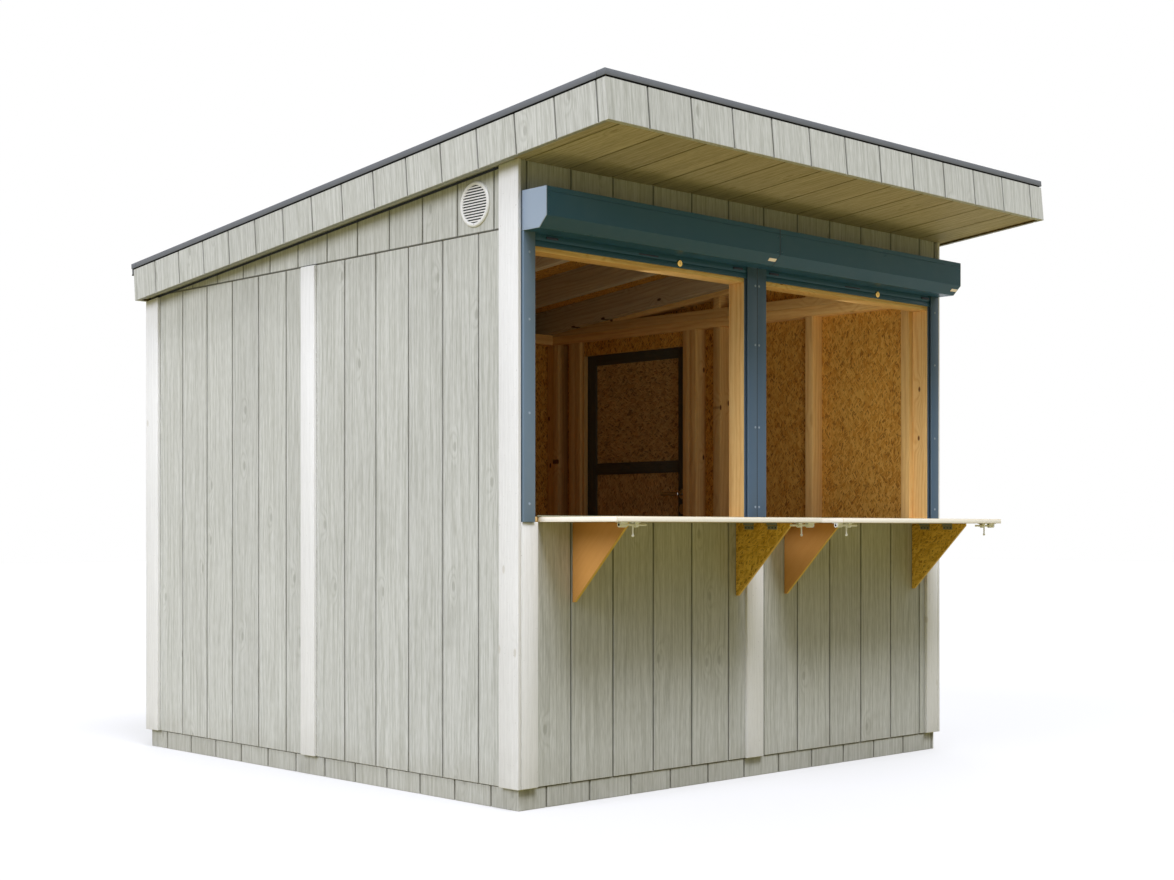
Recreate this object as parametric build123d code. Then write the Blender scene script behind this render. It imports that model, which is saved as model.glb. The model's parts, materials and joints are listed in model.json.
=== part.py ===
from build123d import *
import os
from math import cos, radians, sin, tan

# A wooden market hut in millimetres. X runs along the serving front, Y from front to back and Z up.
# The origin is on the ground in the middle of the floor plan.

# Walls: grooved siding sheets on a timber frame
wall_width = 2388.0
wall_depth = 2530.0
siding_thickness = 10.0
sheet_joint_height = 1996.0
sheet_gap = 3.0
stud_width = 45.0
stud_depth = 70.0
plate_height = 45.0
panel_gap = 1.0
back_stud_count = 5
front_stud_count = 3
side_stud_pitch = 610.0
trimmer_count = 2

# Floor and plinth
plinth_height = 75.0
plinth_inset = 5.0
plinth_thickness = 12.0
plinth_shadow_gap = 3.0
floor_deck_thickness = 18.0
joist_width = 45.0
joist_count = 5

# White corner boards and centre battens
corner_board_thickness = 15.0
corner_board_side_width = 104.0
corner_board_end_width = 77.0
batten_width = 95.0
batten_thickness = 14.0
board_joint = 1.0

# Roof: one slope that rises to the front
roof_slope = 5.34
roof_side_overhang = 64.5
roof_front_overhang = 500.0
roof_back_overhang = 55.0
roof_seat_gap = 2.0
roof_depth = 167.0
trim_thickness = 2.0
trim_face_height = 22.0
trim_shadow_gap = 6.0
trim_flange_width = 40.0
roof_cover_thickness = 4.0
roof_deck_thickness = 18.0
fascia_thickness = 18.0
fascia_lip = 8.0
soffit_thickness = 10.0
soffit_wall_gap = 2.0
rafter_width = 45.0
rafter_wall_gap = 9.0
rafter_count = 5
sloping_plate_lap = 24.0
drip_inset = 8.0
drip_drop = 52.0
drip_kick = 7.0
back_fascia_inset = 16.0

# Serving openings, roller shutters and their guide rails
sill_height = 1006.0
sill_nosing = 18.0
sill_thickness = 45.0
head_drop = 75.0
head_depth = 90.0
cripple_count = 5
rail_width = 53.0
rail_depth = 22.0
rail_inset = 4.0
rail_seam = 0.6
rail_slot_width = 12.0
rail_slot_depth = 25.0
rail_lip = 5.0
shutter_box_depth = 140.0
shutter_box_height = 137.0
shutter_box_chamfer = 38.0
shutter_box_drop = 16.0
shutter_box_seam = 1.0
slat_thickness = 8.0
slat_drop = 44.0
slat_end_play = 5.0

# Counters, their folding brackets and barrel bolts
counter_reach = 400.0
counter_thickness = 18.0
counter_inner_gap = 10.5
counter_outer_gap = 26.5
counter_hinge_gap = 2.0
counter_hinge_rise = 2.0
counter_hinge_radius = 3.5
counter_hinge_leaf = 18.0
counter_hinge_play = 0.5
bracket_reach = 275.0
bracket_drop = 280.0
bracket_thickness = 12.0
bracket_toe = 10.0
bracket_top_gap = 0.5
bracket_wall_gap = 5.0
bracket_hinge_drop = 6.0
bracket_hinge_radius = 3.0
bracket_hinge_play = 0.5
bracket_hinge_length = 50.0
bracket_hinge_leaf = 22.0
bracket_hinge_plate = 1.5
bracket_hinge_shares = (0.25, 0.68)
bracket_insets = (159.5, 28.5, 116.5, 78.5)
bolt_rod_radius = 4.0
bolt_rod_length = 121.0
bolt_rod_drop = 10.0
bolt_play = 0.5
bolt_front_inset = 40.0
bolt_end_insets = (46.0, 4.5, 2.5, 2.0)
bolt_tip_recess = 6.0
bolt_plate_thickness = 2.0
bolt_plate_width = 34.0
bolt_plate_length = 88.0
bolt_outer_saddle = 34.0
bolt_inner_saddle = 18.0
bolt_saddle_width = 20.0
bolt_pin_radius = 3.0
bolt_pin_length = 36.0
bolt_pin_clearance = 2.0
bolt_knob_radius = 5.0

# Door in the right-hand wall
door_front = 215.0
door_rear_inset = 308.0
door_head_drop = 111.0
door_gap = 8.0
door_frame_thickness = 24.0
door_stile_width = 68.0
door_rail_width = 60.0
door_mid_rail_height = 1250.0
door_panel_thickness = 9.0
door_panel_setback = 8.0
door_stop_width = 14.0
door_stop_depth = 25.0
door_stop_gap = 5.0
door_stop_lap = 8.0
door_hinge_offset = 9.0
door_hinge_radius = 7.0
door_hinge_length = 90.0
door_hinge_split = 0.5
door_hinge_leaf_width = 36.0
door_hinge_leaf_thickness = 2.0
door_hinge_end_inset = 200.0
handle_height = 1140.0
handle_spindle_radius = 6.0
handle_play = 0.5
handle_stand_off = 38.0
handle_lever_length = 115.0
handle_lever_width = 18.0
handle_lever_thickness = 12.0
handle_lever_round = 5.0

# Round vent in the left-hand wall
vent_centre_back = 232.0
vent_roof_gap = 20.5
vent_radius = 80.0
vent_thickness = 8.0
vent_rim = 12.0
vent_rib = 6.0
vent_slot_height = 5.0
vent_slot_pitch = 10.5
vent_slot_count = 12
vent_duct_radius = 55.0

# Planes that the pieces share
slope = radians(roof_slope)
side_face = wall_width / 2
end_face = wall_depth / 2
side_frame = side_face - siding_thickness
end_frame = end_face - siding_thickness
side_inner = side_frame - stud_depth
end_inner = end_frame - stud_depth
plinth_side = side_face - plinth_inset
plinth_end = end_face - plinth_inset
floor_side = plinth_side - plinth_thickness
floor_end = plinth_end - plinth_thickness
floor_top = plinth_height
stud_bottom = floor_top + plate_height
roof_side = side_face + roof_side_overhang
roof_front = -end_face - roof_front_overhang
roof_length = (roof_front_overhang + wall_depth + roof_back_overhang) / cos(slope)
fascia_inset = trim_thickness + fascia_thickness
cover_depth = trim_thickness + roof_cover_thickness
deck_underside = cover_depth + roof_deck_thickness
soffit_underside = roof_depth - fascia_lip
rafter_underside = soffit_underside - soffit_thickness
sloping_plate_depth = rafter_underside - sloping_plate_lap
roof_fall = tan(slope) * (end_face - roof_front)
roof_height = sheet_joint_height + roof_seat_gap + roof_fall + rafter_underside / cos(slope)
opening_inner = rail_width
opening_outer = side_face - rail_inset - rail_width
rail_bottom = sill_height - sill_nosing
rail_front = -end_face - rail_depth
head_height = sheet_joint_height - head_drop
shutter_box_bottom = sheet_joint_height - shutter_box_drop
slat_bottom = shutter_box_bottom - slat_drop
door_rear = end_face - door_rear_inset
door_bottom = floor_top + door_gap
door_top = sheet_joint_height - door_head_drop


def block(x, y, z):
    """A straight board or post between three pairs of planes."""
    size = [high - low for low, high in (x, y, z)]
    return Pos(x[0], y[0], z[0]) * Box(*size, align=(Align.MIN, Align.MIN, Align.MIN))


def along_x(points, x):
    """A side outline of (Y, Z) points, carried along X."""
    outline = make_face(Polyline(*points, close=True))
    return extrude(Plane.YZ.offset(x[0]) * outline, amount=x[1] - x[0])


def both_sides(shape):
    """A shape and its mirror image across the middle of the hut."""
    return [mirror(shape, about=Plane.YZ), shape]


def evenly(low, high, count):
    """Places from low to high at equal steps."""
    return [low + (high - low) * index / (count - 1) for index in range(count)]


def around(centre, width):
    """The two planes of a board that is centred on a place."""
    return (centre - width / 2, centre + width / 2)


def roof_z(y, depth):
    """Height of the plane that lies a given depth below the roof's top, above a place in Y."""
    return roof_height - tan(slope) * (y - roof_front) - depth / cos(slope)


def roof_y(z, depth):
    """Place in Y where the plane at a given depth below the roof's top comes down to a height."""
    return roof_front + (roof_height - depth / cos(slope) - z) / tan(slope)


def roof_place():
    """The roof's own frame: its front top edge, tilted to the slope."""
    return Pos(0, roof_front, roof_height) * Rot(-roof_slope, 0, 0)


def roof_block(x, run, depth):
    """A board in the roof's own slope, by its run from the front edge and its depth below the top."""
    return roof_place() * block(x, run, (-depth[1], -depth[0]))


def roof_run(y, depth):
    """Run along the slope to a place in Y, at a depth below the roof's top."""
    return (y - roof_front + depth * sin(slope)) / cos(slope)


def floor_pieces():
    joist_top = floor_top - floor_deck_thickness
    outer_joist = floor_side - joist_width / 2
    joists = [
        block(around(x, joist_width), (-floor_end, floor_end), (0, joist_top))
        for x in evenly(-outer_joist, outer_joist, joist_count)
    ]
    deck = block((-floor_side, floor_side), (-floor_end, floor_end), (joist_top, floor_top))
    plinth_z = (0, plinth_height - plinth_shadow_gap)
    side_run = floor_end - board_joint
    plinth = both_sides(block((floor_side, plinth_side), (-side_run, side_run), plinth_z))
    for y in ((-plinth_end, -floor_end), (floor_end, plinth_end)):
        plinth.append(block((-plinth_side, plinth_side), y, plinth_z))
    return {"floor_joists": joists, "floor_deck": [deck], "plinth_boards": plinth}


def doorway():
    """The clear hole in the right-hand wall, in Y."""
    return (door_front - door_gap, door_rear + door_gap)


def plate_pieces():
    """Sole plates, top plates, and the wedge of plates under each sloping side of the roof."""
    side_run = end_inner - panel_gap
    side_x = (side_inner, side_frame)
    hole = doorway()
    sole_z = (floor_top, stud_bottom)
    top_z = (sheet_joint_height - plate_height, sheet_joint_height)
    plates = [block((-side_frame, -side_inner), (-side_run, side_run), sole_z)]
    plates.append(block(side_x, (-side_run, hole[0]), sole_z))
    plates.append(block(side_x, (hole[1], side_run), sole_z))
    plates += both_sides(block(side_x, (-side_run, side_run), top_z))
    for y in ((-end_frame, -end_inner), (end_inner, end_frame)):
        plates.append(block((-side_frame, side_frame), y, sole_z))
        bevelled = [
            (y[0], end_plate_bottom(y)),
            (y[1], end_plate_bottom(y)),
            (y[1], roof_z(y[1], rafter_underside)),
            (y[0], roof_z(y[0], rafter_underside)),
        ]
        plates.append(along_x(bevelled, (-side_frame, side_frame)))

    wedge_top = sheet_joint_height + plate_height
    wedge_outline = [
        (-side_run, sheet_joint_height),
        (side_run, sheet_joint_height),
        (side_run, roof_z(side_run, sloping_plate_depth)),
        (roof_y(wedge_top, sloping_plate_depth), wedge_top),
        (-side_run, wedge_top),
    ]
    sloping_outline = [
        (-side_run, roof_z(-side_run, sloping_plate_depth + plate_height)),
        (roof_y(wedge_top, sloping_plate_depth + plate_height), wedge_top),
        (roof_y(wedge_top, sloping_plate_depth), wedge_top),
        (-side_run, roof_z(-side_run, sloping_plate_depth)),
    ]
    return {
        "wall_plates": plates,
        "wedge_plates": both_sides(along_x(wedge_outline, side_x)),
        "sloping_plates": both_sides(along_x(sloping_outline, side_x)),
    }


def end_plate_bottom(y):
    """Underside of a front or back top plate, whose top is bevelled to the rafters."""
    return roof_z(y[1], rafter_underside) - plate_height


def stud_pieces():
    hole = doorway()
    side_x = (side_inner, side_frame)
    side_z = (stud_bottom, sheet_joint_height - plate_height)
    end_stud = end_inner - panel_gap - stud_width / 2
    panel_stud = (stud_width + panel_gap) / 2
    plain_places = [-end_stud, -side_stud_pitch, -panel_stud, panel_stud, side_stud_pitch, end_stud]
    left = [block((-side_frame, -side_inner), around(y, stud_width), side_z) for y in plain_places]
    door_places = [-end_stud, -side_stud_pitch, -panel_stud, end_stud]
    for index in range(trimmer_count):
        trimmer = stud_width / 2 + index * (stud_width + panel_gap)
        door_places += [hole[0] - trimmer, hole[1] + trimmer]
    right = [block(side_x, around(y, stud_width), side_z) for y in door_places]

    back_y = (end_inner, end_frame)
    back_edge = side_frame - stud_width / 2
    back = [
        block(around(x, stud_width), back_y, (stud_bottom, end_plate_bottom(back_y)))
        for x in evenly(-back_edge, back_edge, back_stud_count)
    ]

    front_y = (-end_frame, -end_inner)
    front = []
    for side in (-1, 1):
        bays = evenly(side * opening_inner, side * opening_outer, front_stud_count + 2)[1:-1]
        bay_z = (stud_bottom, sill_height - sill_thickness)
        front += [block(around(x, stud_width), front_y, bay_z) for x in bays]
    cripple_z = (head_height + head_depth, end_plate_bottom(front_y))
    cripple_places = evenly(-back_edge, back_edge, cripple_count)
    front += [block(around(x, stud_width), front_y, cripple_z) for x in cripple_places]

    wedge = []
    wedge_bottom = sheet_joint_height + plate_height
    for y in (-end_stud, -side_stud_pitch, -panel_stud):
        low, high = around(y, stud_width)
        outline = [
            (low, wedge_bottom),
            (high, wedge_bottom),
            (high, roof_z(high, sloping_plate_depth + plate_height)),
            (low, roof_z(low, sloping_plate_depth + plate_height)),
        ]
        wedge += both_sides(along_x(outline, side_x))
    return {
        "left_studs": left,
        "right_studs": right,
        "back_studs": back,
        "front_studs": front,
        "wedge_studs": wedge,
    }


def opening_pieces():
    """Posts, sills and head that frame the two serving openings."""
    face_y = (-end_face, -end_inner)
    frame_y = (-end_frame, -end_inner)
    posts = []
    for x in ((-side_frame, -opening_outer), (-opening_inner, opening_inner), (opening_outer, side_frame)):
        lower = block(x, frame_y, (stud_bottom, head_height))
        posts.append(lower + block(x, face_y, (rail_bottom, head_height)))
    head = block((-side_frame, side_frame), face_y, (head_height, head_height + head_depth))
    sill_outline = [
        (-end_face, sill_height),
        (-end_face, rail_bottom),
        (-end_frame, rail_bottom),
        (-end_frame, sill_height - sill_thickness),
        (-end_inner, sill_height - sill_thickness),
        (-end_inner, sill_height),
    ]
    sills = both_sides(along_x(sill_outline, (opening_inner, opening_outer)))
    return {"opening_posts": posts, "opening_head": [head], "opening_sills": sills}


def siding_pieces():
    half_gap = sheet_gap / 2
    sheet_z = (floor_top, sheet_joint_height)
    side_x = (side_face - siding_thickness, side_face)
    left_x = (-side_face, -side_frame)
    hole = doorway()
    door_head = door_top + door_gap
    left = [block(left_x, (-end_face, -half_gap), sheet_z), block(left_x, (half_gap, end_face), sheet_z)]
    right = [block(side_x, (-end_face, -half_gap), sheet_z)]
    right.append(block(side_x, (half_gap, hole[0]), sheet_z))
    right.append(block(side_x, (hole[1], end_face), sheet_z))
    over_door = block(side_x, hole, (door_head, sheet_joint_height))

    back_y = (end_frame, end_face)
    back = both_sides(block((half_gap, side_frame), back_y, sheet_z))
    front_y = (-end_face, -end_frame)
    front = both_sides(block((half_gap, side_frame), front_y, (floor_top, rail_bottom)))
    upper_z = (head_height + head_depth, roof_z(-end_frame, rafter_underside))
    front += both_sides(block((half_gap, side_frame), front_y, upper_z))

    gable_bottom = sheet_joint_height + sheet_gap
    gable_outline = [
        (-end_face, gable_bottom),
        (end_face, gable_bottom),
        (end_face, roof_z(end_face, deck_underside)),
        (-end_face, roof_z(-end_face, deck_underside)),
    ]
    gables = both_sides(along_x(gable_outline, side_x))
    duct = Pos(-side_face, vent_y(), vent_z()) * Rot(0, 90, 0) * Cylinder(vent_duct_radius, wall_width / 2)
    gables[0] = gables[0] - duct
    return {
        "left_siding": left,
        "right_siding": right,
        "siding_over_door": [over_door],
        "back_siding": back,
        "front_siding": front,
        "gable_siding": gables,
    }


def board_pieces():
    """Corner boards on every corner and a batten over each joint between siding sheets."""
    outer_end = end_face + corner_board_thickness
    side_x = (side_face, side_face + corner_board_thickness)
    corners = []
    for low, high, depth in (
        (-outer_end, corner_board_side_width - outer_end, soffit_underside),
        (outer_end - corner_board_side_width, outer_end, roof_depth),
    ):
        outline = [
            (low, floor_top),
            (high, floor_top),
            (high, roof_z(high, depth) - board_joint),
            (low, roof_z(low, depth) - board_joint),
        ]
        corners += both_sides(along_x(outline, side_x))
    end_x = (side_face - corner_board_end_width, side_face - board_joint)
    back_top = roof_z(outer_end, roof_depth) - board_joint
    corners += both_sides(block(end_x, (-outer_end, -end_face), (floor_top, rail_bottom)))
    corners += both_sides(block(end_x, (end_face, outer_end), (floor_top, back_top)))

    batten_y = around(0, batten_width)
    outer_batten = end_face + batten_thickness
    batten_top = roof_z(outer_batten, roof_depth) - board_joint
    side_batten_x = (side_face, side_face + batten_thickness)
    battens = both_sides(block(side_batten_x, batten_y, (floor_top, sheet_joint_height)))
    battens.append(block(batten_y, (-outer_batten, -end_face), (floor_top, rail_bottom)))
    battens.append(block(batten_y, (end_face, outer_batten), (floor_top, batten_top)))
    return {"corner_boards": corners, "centre_battens": battens}


def roof_pieces():
    inner_side = roof_side - fascia_inset
    back_run = (roof_length - back_fascia_inset - fascia_thickness, roof_length - back_fascia_inset)
    inner_run = (fascia_inset, back_run[0])
    board_x = (-inner_side, inner_side)
    outer_rafter = side_inner - rafter_wall_gap - rafter_width / 2
    rafters = [
        roof_block(around(x, rafter_width), inner_run, (deck_underside, rafter_underside))
        for x in evenly(-outer_rafter, outer_rafter, rafter_count)
    ]
    deck = roof_block(board_x, inner_run, (cover_depth, deck_underside))
    cover = roof_block(board_x, inner_run, (trim_thickness, cover_depth))

    fascia_depth = (trim_face_height + trim_shadow_gap, roof_depth)
    end_x = (-roof_side + trim_thickness, roof_side - trim_thickness)
    side_run = (fascia_inset + board_joint, back_run[0] - board_joint)
    fascias = both_sides(roof_block((inner_side, roof_side - trim_thickness), side_run, fascia_depth))
    fascias.append(roof_block(end_x, (trim_thickness, fascia_inset), fascia_depth))
    fascias.append(roof_block(end_x, back_run, fascia_depth))

    soffit_depth = (rafter_underside, soffit_underside)
    front_end = roof_run(-end_face - soffit_wall_gap, rafter_underside)
    soffit = roof_block(board_x, (fascia_inset, front_end), soffit_depth)
    edge_x = (side_face + board_joint, inner_side)
    edges = both_sides(roof_block(edge_x, (front_end + board_joint, back_run[0]), soffit_depth))
    return {
        "rafters": rafters,
        "roof_deck": [deck],
        "roof_cover": [cover],
        "fascias": fascias,
        "front_soffit": [soffit],
        "edge_soffits": edges,
        "roof_trim": trim_solids(),
    }


def trim_solids():
    """Folded sheet along the four edges of the roof, with a drip edge hanging along the back."""
    face_depth = (0, trim_face_height)
    flange_depth = (0, trim_thickness)
    ear_x = (roof_side - trim_thickness, roof_side)
    whole_x = (-roof_side, roof_side)
    side_run = (trim_flange_width + board_joint, roof_length - trim_flange_width - board_joint)
    flange_x = (roof_side - trim_flange_width, roof_side)
    side_strip = roof_block(ear_x, side_run, face_depth) + roof_block(flange_x, side_run, flange_depth)
    strips = both_sides(side_strip)
    front_run = (0, trim_flange_width)
    back_run = (roof_length - trim_flange_width, roof_length)
    front = roof_block(whole_x, front_run, flange_depth)
    front = front + roof_block(whole_x, (0, trim_thickness), face_depth)
    back = roof_block(whole_x, back_run, flange_depth) + roof_place() * drip_solid()
    for ear_run, strip in ((front_run, front), (back_run, back)):
        for ear in both_sides(roof_block(ear_x, ear_run, face_depth)):
            strip = strip + ear
        strips.append(strip)
    return strips


def drip_solid():
    """The back edge's folded face: down, then kicked out to throw water clear, in the roof's own slope."""
    outer = roof_length - drip_inset + trim_thickness
    inner = roof_length - drip_inset
    bend = -drip_drop + drip_kick
    outline = [
        (inner, 0),
        (inner, bend),
        (inner + drip_kick, -drip_drop),
        (outer + drip_kick - trim_thickness / 2, -drip_drop + trim_thickness),
        (outer, bend),
        (outer, 0),
    ]
    return along_x(outline, (-roof_side, roof_side))


def shutter_pieces():
    box_top = shutter_box_bottom + shutter_box_height
    box_front = -end_face - shutter_box_depth
    outline = [
        (-end_face, shutter_box_bottom),
        (box_front + shutter_box_chamfer, shutter_box_bottom),
        (box_front, shutter_box_bottom + shutter_box_chamfer),
        (box_front, box_top),
        (-end_face, box_top),
    ]
    box_x = (shutter_box_seam / 2, side_face - rail_inset)
    boxes = both_sides(along_x(outline, box_x))

    slot_y = (rail_front + rail_lip, rail_front + rail_lip + rail_slot_width)
    rail_z = (rail_bottom, shutter_box_bottom)
    inner_x = (rail_seam / 2, opening_inner)
    outer_x = (opening_outer, opening_outer + rail_width)
    rail_y = (rail_front, -end_face)
    inner_slot = block((opening_inner - rail_slot_depth, opening_inner), slot_y, rail_z)
    outer_slot = block((opening_outer, opening_outer + rail_slot_depth), slot_y, rail_z)
    rails = both_sides(block(inner_x, rail_y, rail_z) - inner_slot)
    rails += both_sides(block(outer_x, rail_y, rail_z) - outer_slot)

    slat_engagement = rail_slot_depth - slat_end_play
    slat_x = (opening_inner - slat_engagement, opening_outer + slat_engagement)
    slat_y = around(sum(slot_y) / 2, slat_thickness)
    slats = both_sides(block(slat_x, slat_y, (slat_bottom, shutter_box_bottom)))
    return {
        "shutter_boxes": boxes,
        "guide_rails": rails,
        "shutter_end_slats": slats,
    }


def counter_ends(side):
    """The two ends of a counter in X, the inner one first."""
    return (side * (opening_inner + counter_inner_gap), side * (opening_outer - counter_outer_gap))


def counter_pieces():
    underside = sill_height - counter_thickness
    front = -end_face - counter_reach
    axis_y = -end_face - counter_hinge_gap
    axis_z = sill_height + counter_hinge_rise
    back = axis_y - counter_hinge_radius - counter_hinge_play
    pieces = {"counter_hinge_barrels": []}
    for name, side in (("left", -1), ("right", 1)):
        x = sorted(counter_ends(side))
        pieces["counter_" + name] = [block(x, (front, back), (underside, sill_height))]
        fixed_leaf = block(x, (axis_y, -end_face + counter_hinge_leaf), (sill_height, axis_z))
        barrel = Pos(sum(x) / 2, axis_y, axis_z) * Rot(0, 90, 0) * Cylinder(counter_hinge_radius, x[1] - x[0])
        below = block(x, (-end_face - counter_reach, end_face), (0, sill_height))
        pieces["counter_hinge_barrels"].append(fixed_leaf + (barrel - below))
        ironwork = [block(x, (back - counter_hinge_leaf, back), (sill_height, axis_z))]
        left_bracket, right_bracket = [face for face in bracket_faces() if face * side > 0]
        ironwork += bracket_hinges(left_bracket + bracket_thickness, 1)
        ironwork += bracket_hinges(right_bracket, -1)
        pieces["counter_ironwork_" + name] = ironwork
    return pieces


def bracket_faces():
    """The left-hand face of each bracket in X, from left to right."""
    left_inner, left_outer = counter_ends(-1)
    right_inner, right_outer = counter_ends(1)
    return (
        left_outer + bracket_insets[0],
        left_inner - bracket_insets[1] - bracket_thickness,
        right_inner + bracket_insets[2],
        right_outer - bracket_insets[3] - bracket_thickness,
    )


def bracket_pieces():
    """Right-angled triangles that hang from the counters and fold inwards under them."""
    top = sill_height - counter_thickness - bracket_top_gap
    wall = -end_face - bracket_wall_gap
    outline = [
        (wall, top),
        (wall, top - bracket_drop),
        (wall - bracket_toe, top - bracket_drop),
        (wall - bracket_reach, top - bracket_toe),
        (wall - bracket_reach, top),
    ]
    return {
        "bracket_%d" % (index + 1): [along_x(outline, (face, face + bracket_thickness))]
        for index, face in enumerate(bracket_faces())
    }


def bracket_hinges(inner_face, inward):
    """The barrels that a bracket folds about, each on a leaf under the counter."""
    underside = sill_height - counter_thickness
    axis_x = inner_face + inward * (bracket_hinge_radius + bracket_hinge_play)
    axis_z = underside - bracket_hinge_drop
    hinges = []
    for share in bracket_hinge_shares:
        y = around(-end_face - bracket_wall_gap - share * bracket_reach, bracket_hinge_length)
        leaf_x = sorted((axis_x, axis_x + inward * bracket_hinge_leaf))
        web_x = sorted((axis_x, axis_x + inward * bracket_hinge_radius))
        leaf = block(leaf_x, y, (underside - bracket_hinge_plate, underside))
        web = block(web_x, y, (axis_z, underside))
        place = Pos(axis_x, sum(y) / 2, axis_z) * Rot(90, 0, 0)
        hinges.append(leaf + web + place * Cylinder(bracket_hinge_radius, bracket_hinge_length))
    return hinges


def bolt_pieces():
    """Barrel bolts: a rod with a turned-down pin, in two saddles on a plate under the counter."""
    underside = sill_height - counter_thickness
    rod_z = underside - bolt_rod_drop
    rod_y = -end_face - counter_reach + bolt_front_inset
    inner_saddle_start = bolt_plate_length - bolt_inner_saddle
    saddles = ((0, bolt_outer_saddle), (inner_saddle_start, bolt_plate_length))
    pin_setback = inner_saddle_start - bolt_pin_radius - bolt_pin_clearance
    pieces = {}
    number = 0
    for name, side in (("left", -1), ("right", 1)):
        guides = []
        for end, outward in sorted(((counter_ends(side)[0], -side), (counter_ends(side)[1], side))):
            tip = end - outward * bolt_end_insets[number]
            number += 1
            plate_x = sorted((tip, tip - outward * bolt_plate_length))
            plate_z = (underside - bolt_plate_thickness, underside)
            plate = block(plate_x, around(rod_y, bolt_plate_width), plate_z)
            saddle_z = (rod_z - bolt_saddle_width / 2, underside)
            for near, far in saddles:
                saddle_x = sorted((tip - outward * near, tip - outward * far))
                plate += block(saddle_x, around(rod_y, bolt_saddle_width), saddle_z)
            rod_middle = tip - outward * (bolt_tip_recess + bolt_rod_length / 2)
            along_rod = Pos(rod_middle, rod_y, rod_z) * Rot(0, 90, 0)
            bore = along_rod * Cylinder(bolt_rod_radius + bolt_play, bolt_rod_length + bolt_plate_length)
            guides.append(plate - bore)
            rod = along_rod * Cylinder(bolt_rod_radius, bolt_rod_length)
            pin_x = tip - outward * pin_setback
            pin_place = Pos(pin_x, rod_y, rod_z - bolt_pin_length / 2)
            knob = Pos(pin_x, rod_y, rod_z - bolt_pin_length) * Sphere(bolt_knob_radius)
            pin = pin_place * Cylinder(bolt_pin_radius, bolt_pin_length)
            pieces["counter_bolt_%d" % number] = [rod + pin + knob]
        pieces["bolt_guides_" + name] = guides
    return pieces


def handle_hole(x):
    """Clearance for the handle's spindle through a stretch of the door in X."""
    place = Pos(sum(x) / 2, door_front + door_stile_width / 2, handle_height) * Rot(0, 90, 0)
    return place * Cylinder(handle_spindle_radius + handle_play, door_frame_thickness + siding_thickness)


def door_pieces():
    """A framed leaf with a sheet infill, clad on the outside like the wall around it."""
    frame_x = (side_frame - door_frame_thickness, side_frame)
    clad_x = (side_frame, side_face)
    stile_z = (door_bottom, door_top)
    front_stile = block(frame_x, (door_front, door_front + door_stile_width), stile_z) - handle_hole(frame_x)
    stiles = [front_stile, block(frame_x, (door_rear - door_stile_width, door_rear), stile_z)]
    rail_y = (door_front + door_stile_width, door_rear - door_stile_width)
    rail_bottoms = (door_bottom, door_mid_rail_height, door_top - door_rail_width)
    rails = [block(frame_x, rail_y, (z, z + door_rail_width)) for z in rail_bottoms]
    panel_x = (frame_x[0] + door_panel_setback, frame_x[0] + door_panel_setback + door_panel_thickness)
    panels = [
        block(panel_x, rail_y, (low + door_rail_width, high))
        for low, high in zip(rail_bottoms, rail_bottoms[1:])
    ]
    cladding = block(clad_x, (door_front, door_rear), stile_z) - handle_hole(clad_x)
    pieces = {"door_stiles": stiles, "door_rails": rails, "door_panels": panels, "door_cladding": [cladding]}
    pieces.update(door_hinge_pieces())
    pieces["door_handle"] = [handle_solid(frame_x[0])]
    stop_x = (frame_x[0] - door_stop_gap - door_stop_depth, frame_x[0] - door_stop_gap)
    hole = doorway()
    stop_z = (floor_top, sheet_joint_height - plate_height)
    head_y = (hole[0] + door_stop_width, hole[1] - door_stop_width)
    pieces["door_stops"] = [
        block(stop_x, (hole[0], head_y[0]), stop_z),
        block(stop_x, (head_y[1], hole[1]), stop_z),
        block(stop_x, head_y, (door_top - door_stop_lap, stop_z[1])),
    ]
    return pieces


def door_hinge_pieces():
    """Lift-off hinges: the upper half of each barrel on the door, the lower half on the wall."""
    axis_x = side_face + door_hinge_offset
    axis_y = door_rear + door_gap / 2
    leaf_x = (side_face, side_face + door_hinge_leaf_thickness)
    half = (door_hinge_length - door_hinge_split) / 2
    wall_halves = []
    door_halves = []
    for middle in (door_bottom + door_hinge_end_inset, door_top - door_hinge_end_inset):
        for halves, direction, leaf_side in ((wall_halves, -1, 1), (door_halves, 1, -1)):
            centre_z = middle + direction * (half + door_hinge_split) / 2
            barrel = Pos(axis_x, axis_y, centre_z) * Cylinder(door_hinge_radius, half)
            leaf_y = sorted((axis_y + leaf_side * door_gap / 2, axis_y + leaf_side * door_hinge_leaf_width))
            web_y = sorted((axis_y, axis_y + leaf_side * door_hinge_radius))
            leaf = block(leaf_x, leaf_y, around(centre_z, half))
            web = block((side_face, axis_x), web_y, around(centre_z, half))
            relief = block(leaf_x, around(axis_y, door_gap), around(centre_z, half))
            halves.append(barrel + leaf + (web - relief))
    return {"hinge_halves_wall": wall_halves, "hinge_halves_door": door_halves}


def handle_solid(inner_face):
    """A lever on each face of the door, on one spindle."""
    y = door_front + door_stile_width / 2
    reach = (inner_face - handle_stand_off, side_face + handle_stand_off)
    spindle_place = Pos(sum(reach) / 2, y, handle_height) * Rot(0, 90, 0)
    handle = spindle_place * Cylinder(handle_spindle_radius, reach[1] - reach[0])
    lever_y = (y - handle_lever_width / 2, y + handle_lever_length)
    for lever_x in (
        (reach[0] - handle_lever_thickness, reach[0]),
        (reach[1], reach[1] + handle_lever_thickness),
    ):
        lever = block(lever_x, lever_y, around(handle_height, handle_lever_width))
        handle += fillet(lever.edges(), handle_lever_round)
    return handle


def vent_y():
    return -end_face + vent_centre_back


def vent_z():
    """Height of the vent's middle, just below the soffit at its place along the wall."""
    return roof_z(vent_y(), soffit_underside) - vent_roof_gap - vent_radius


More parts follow.
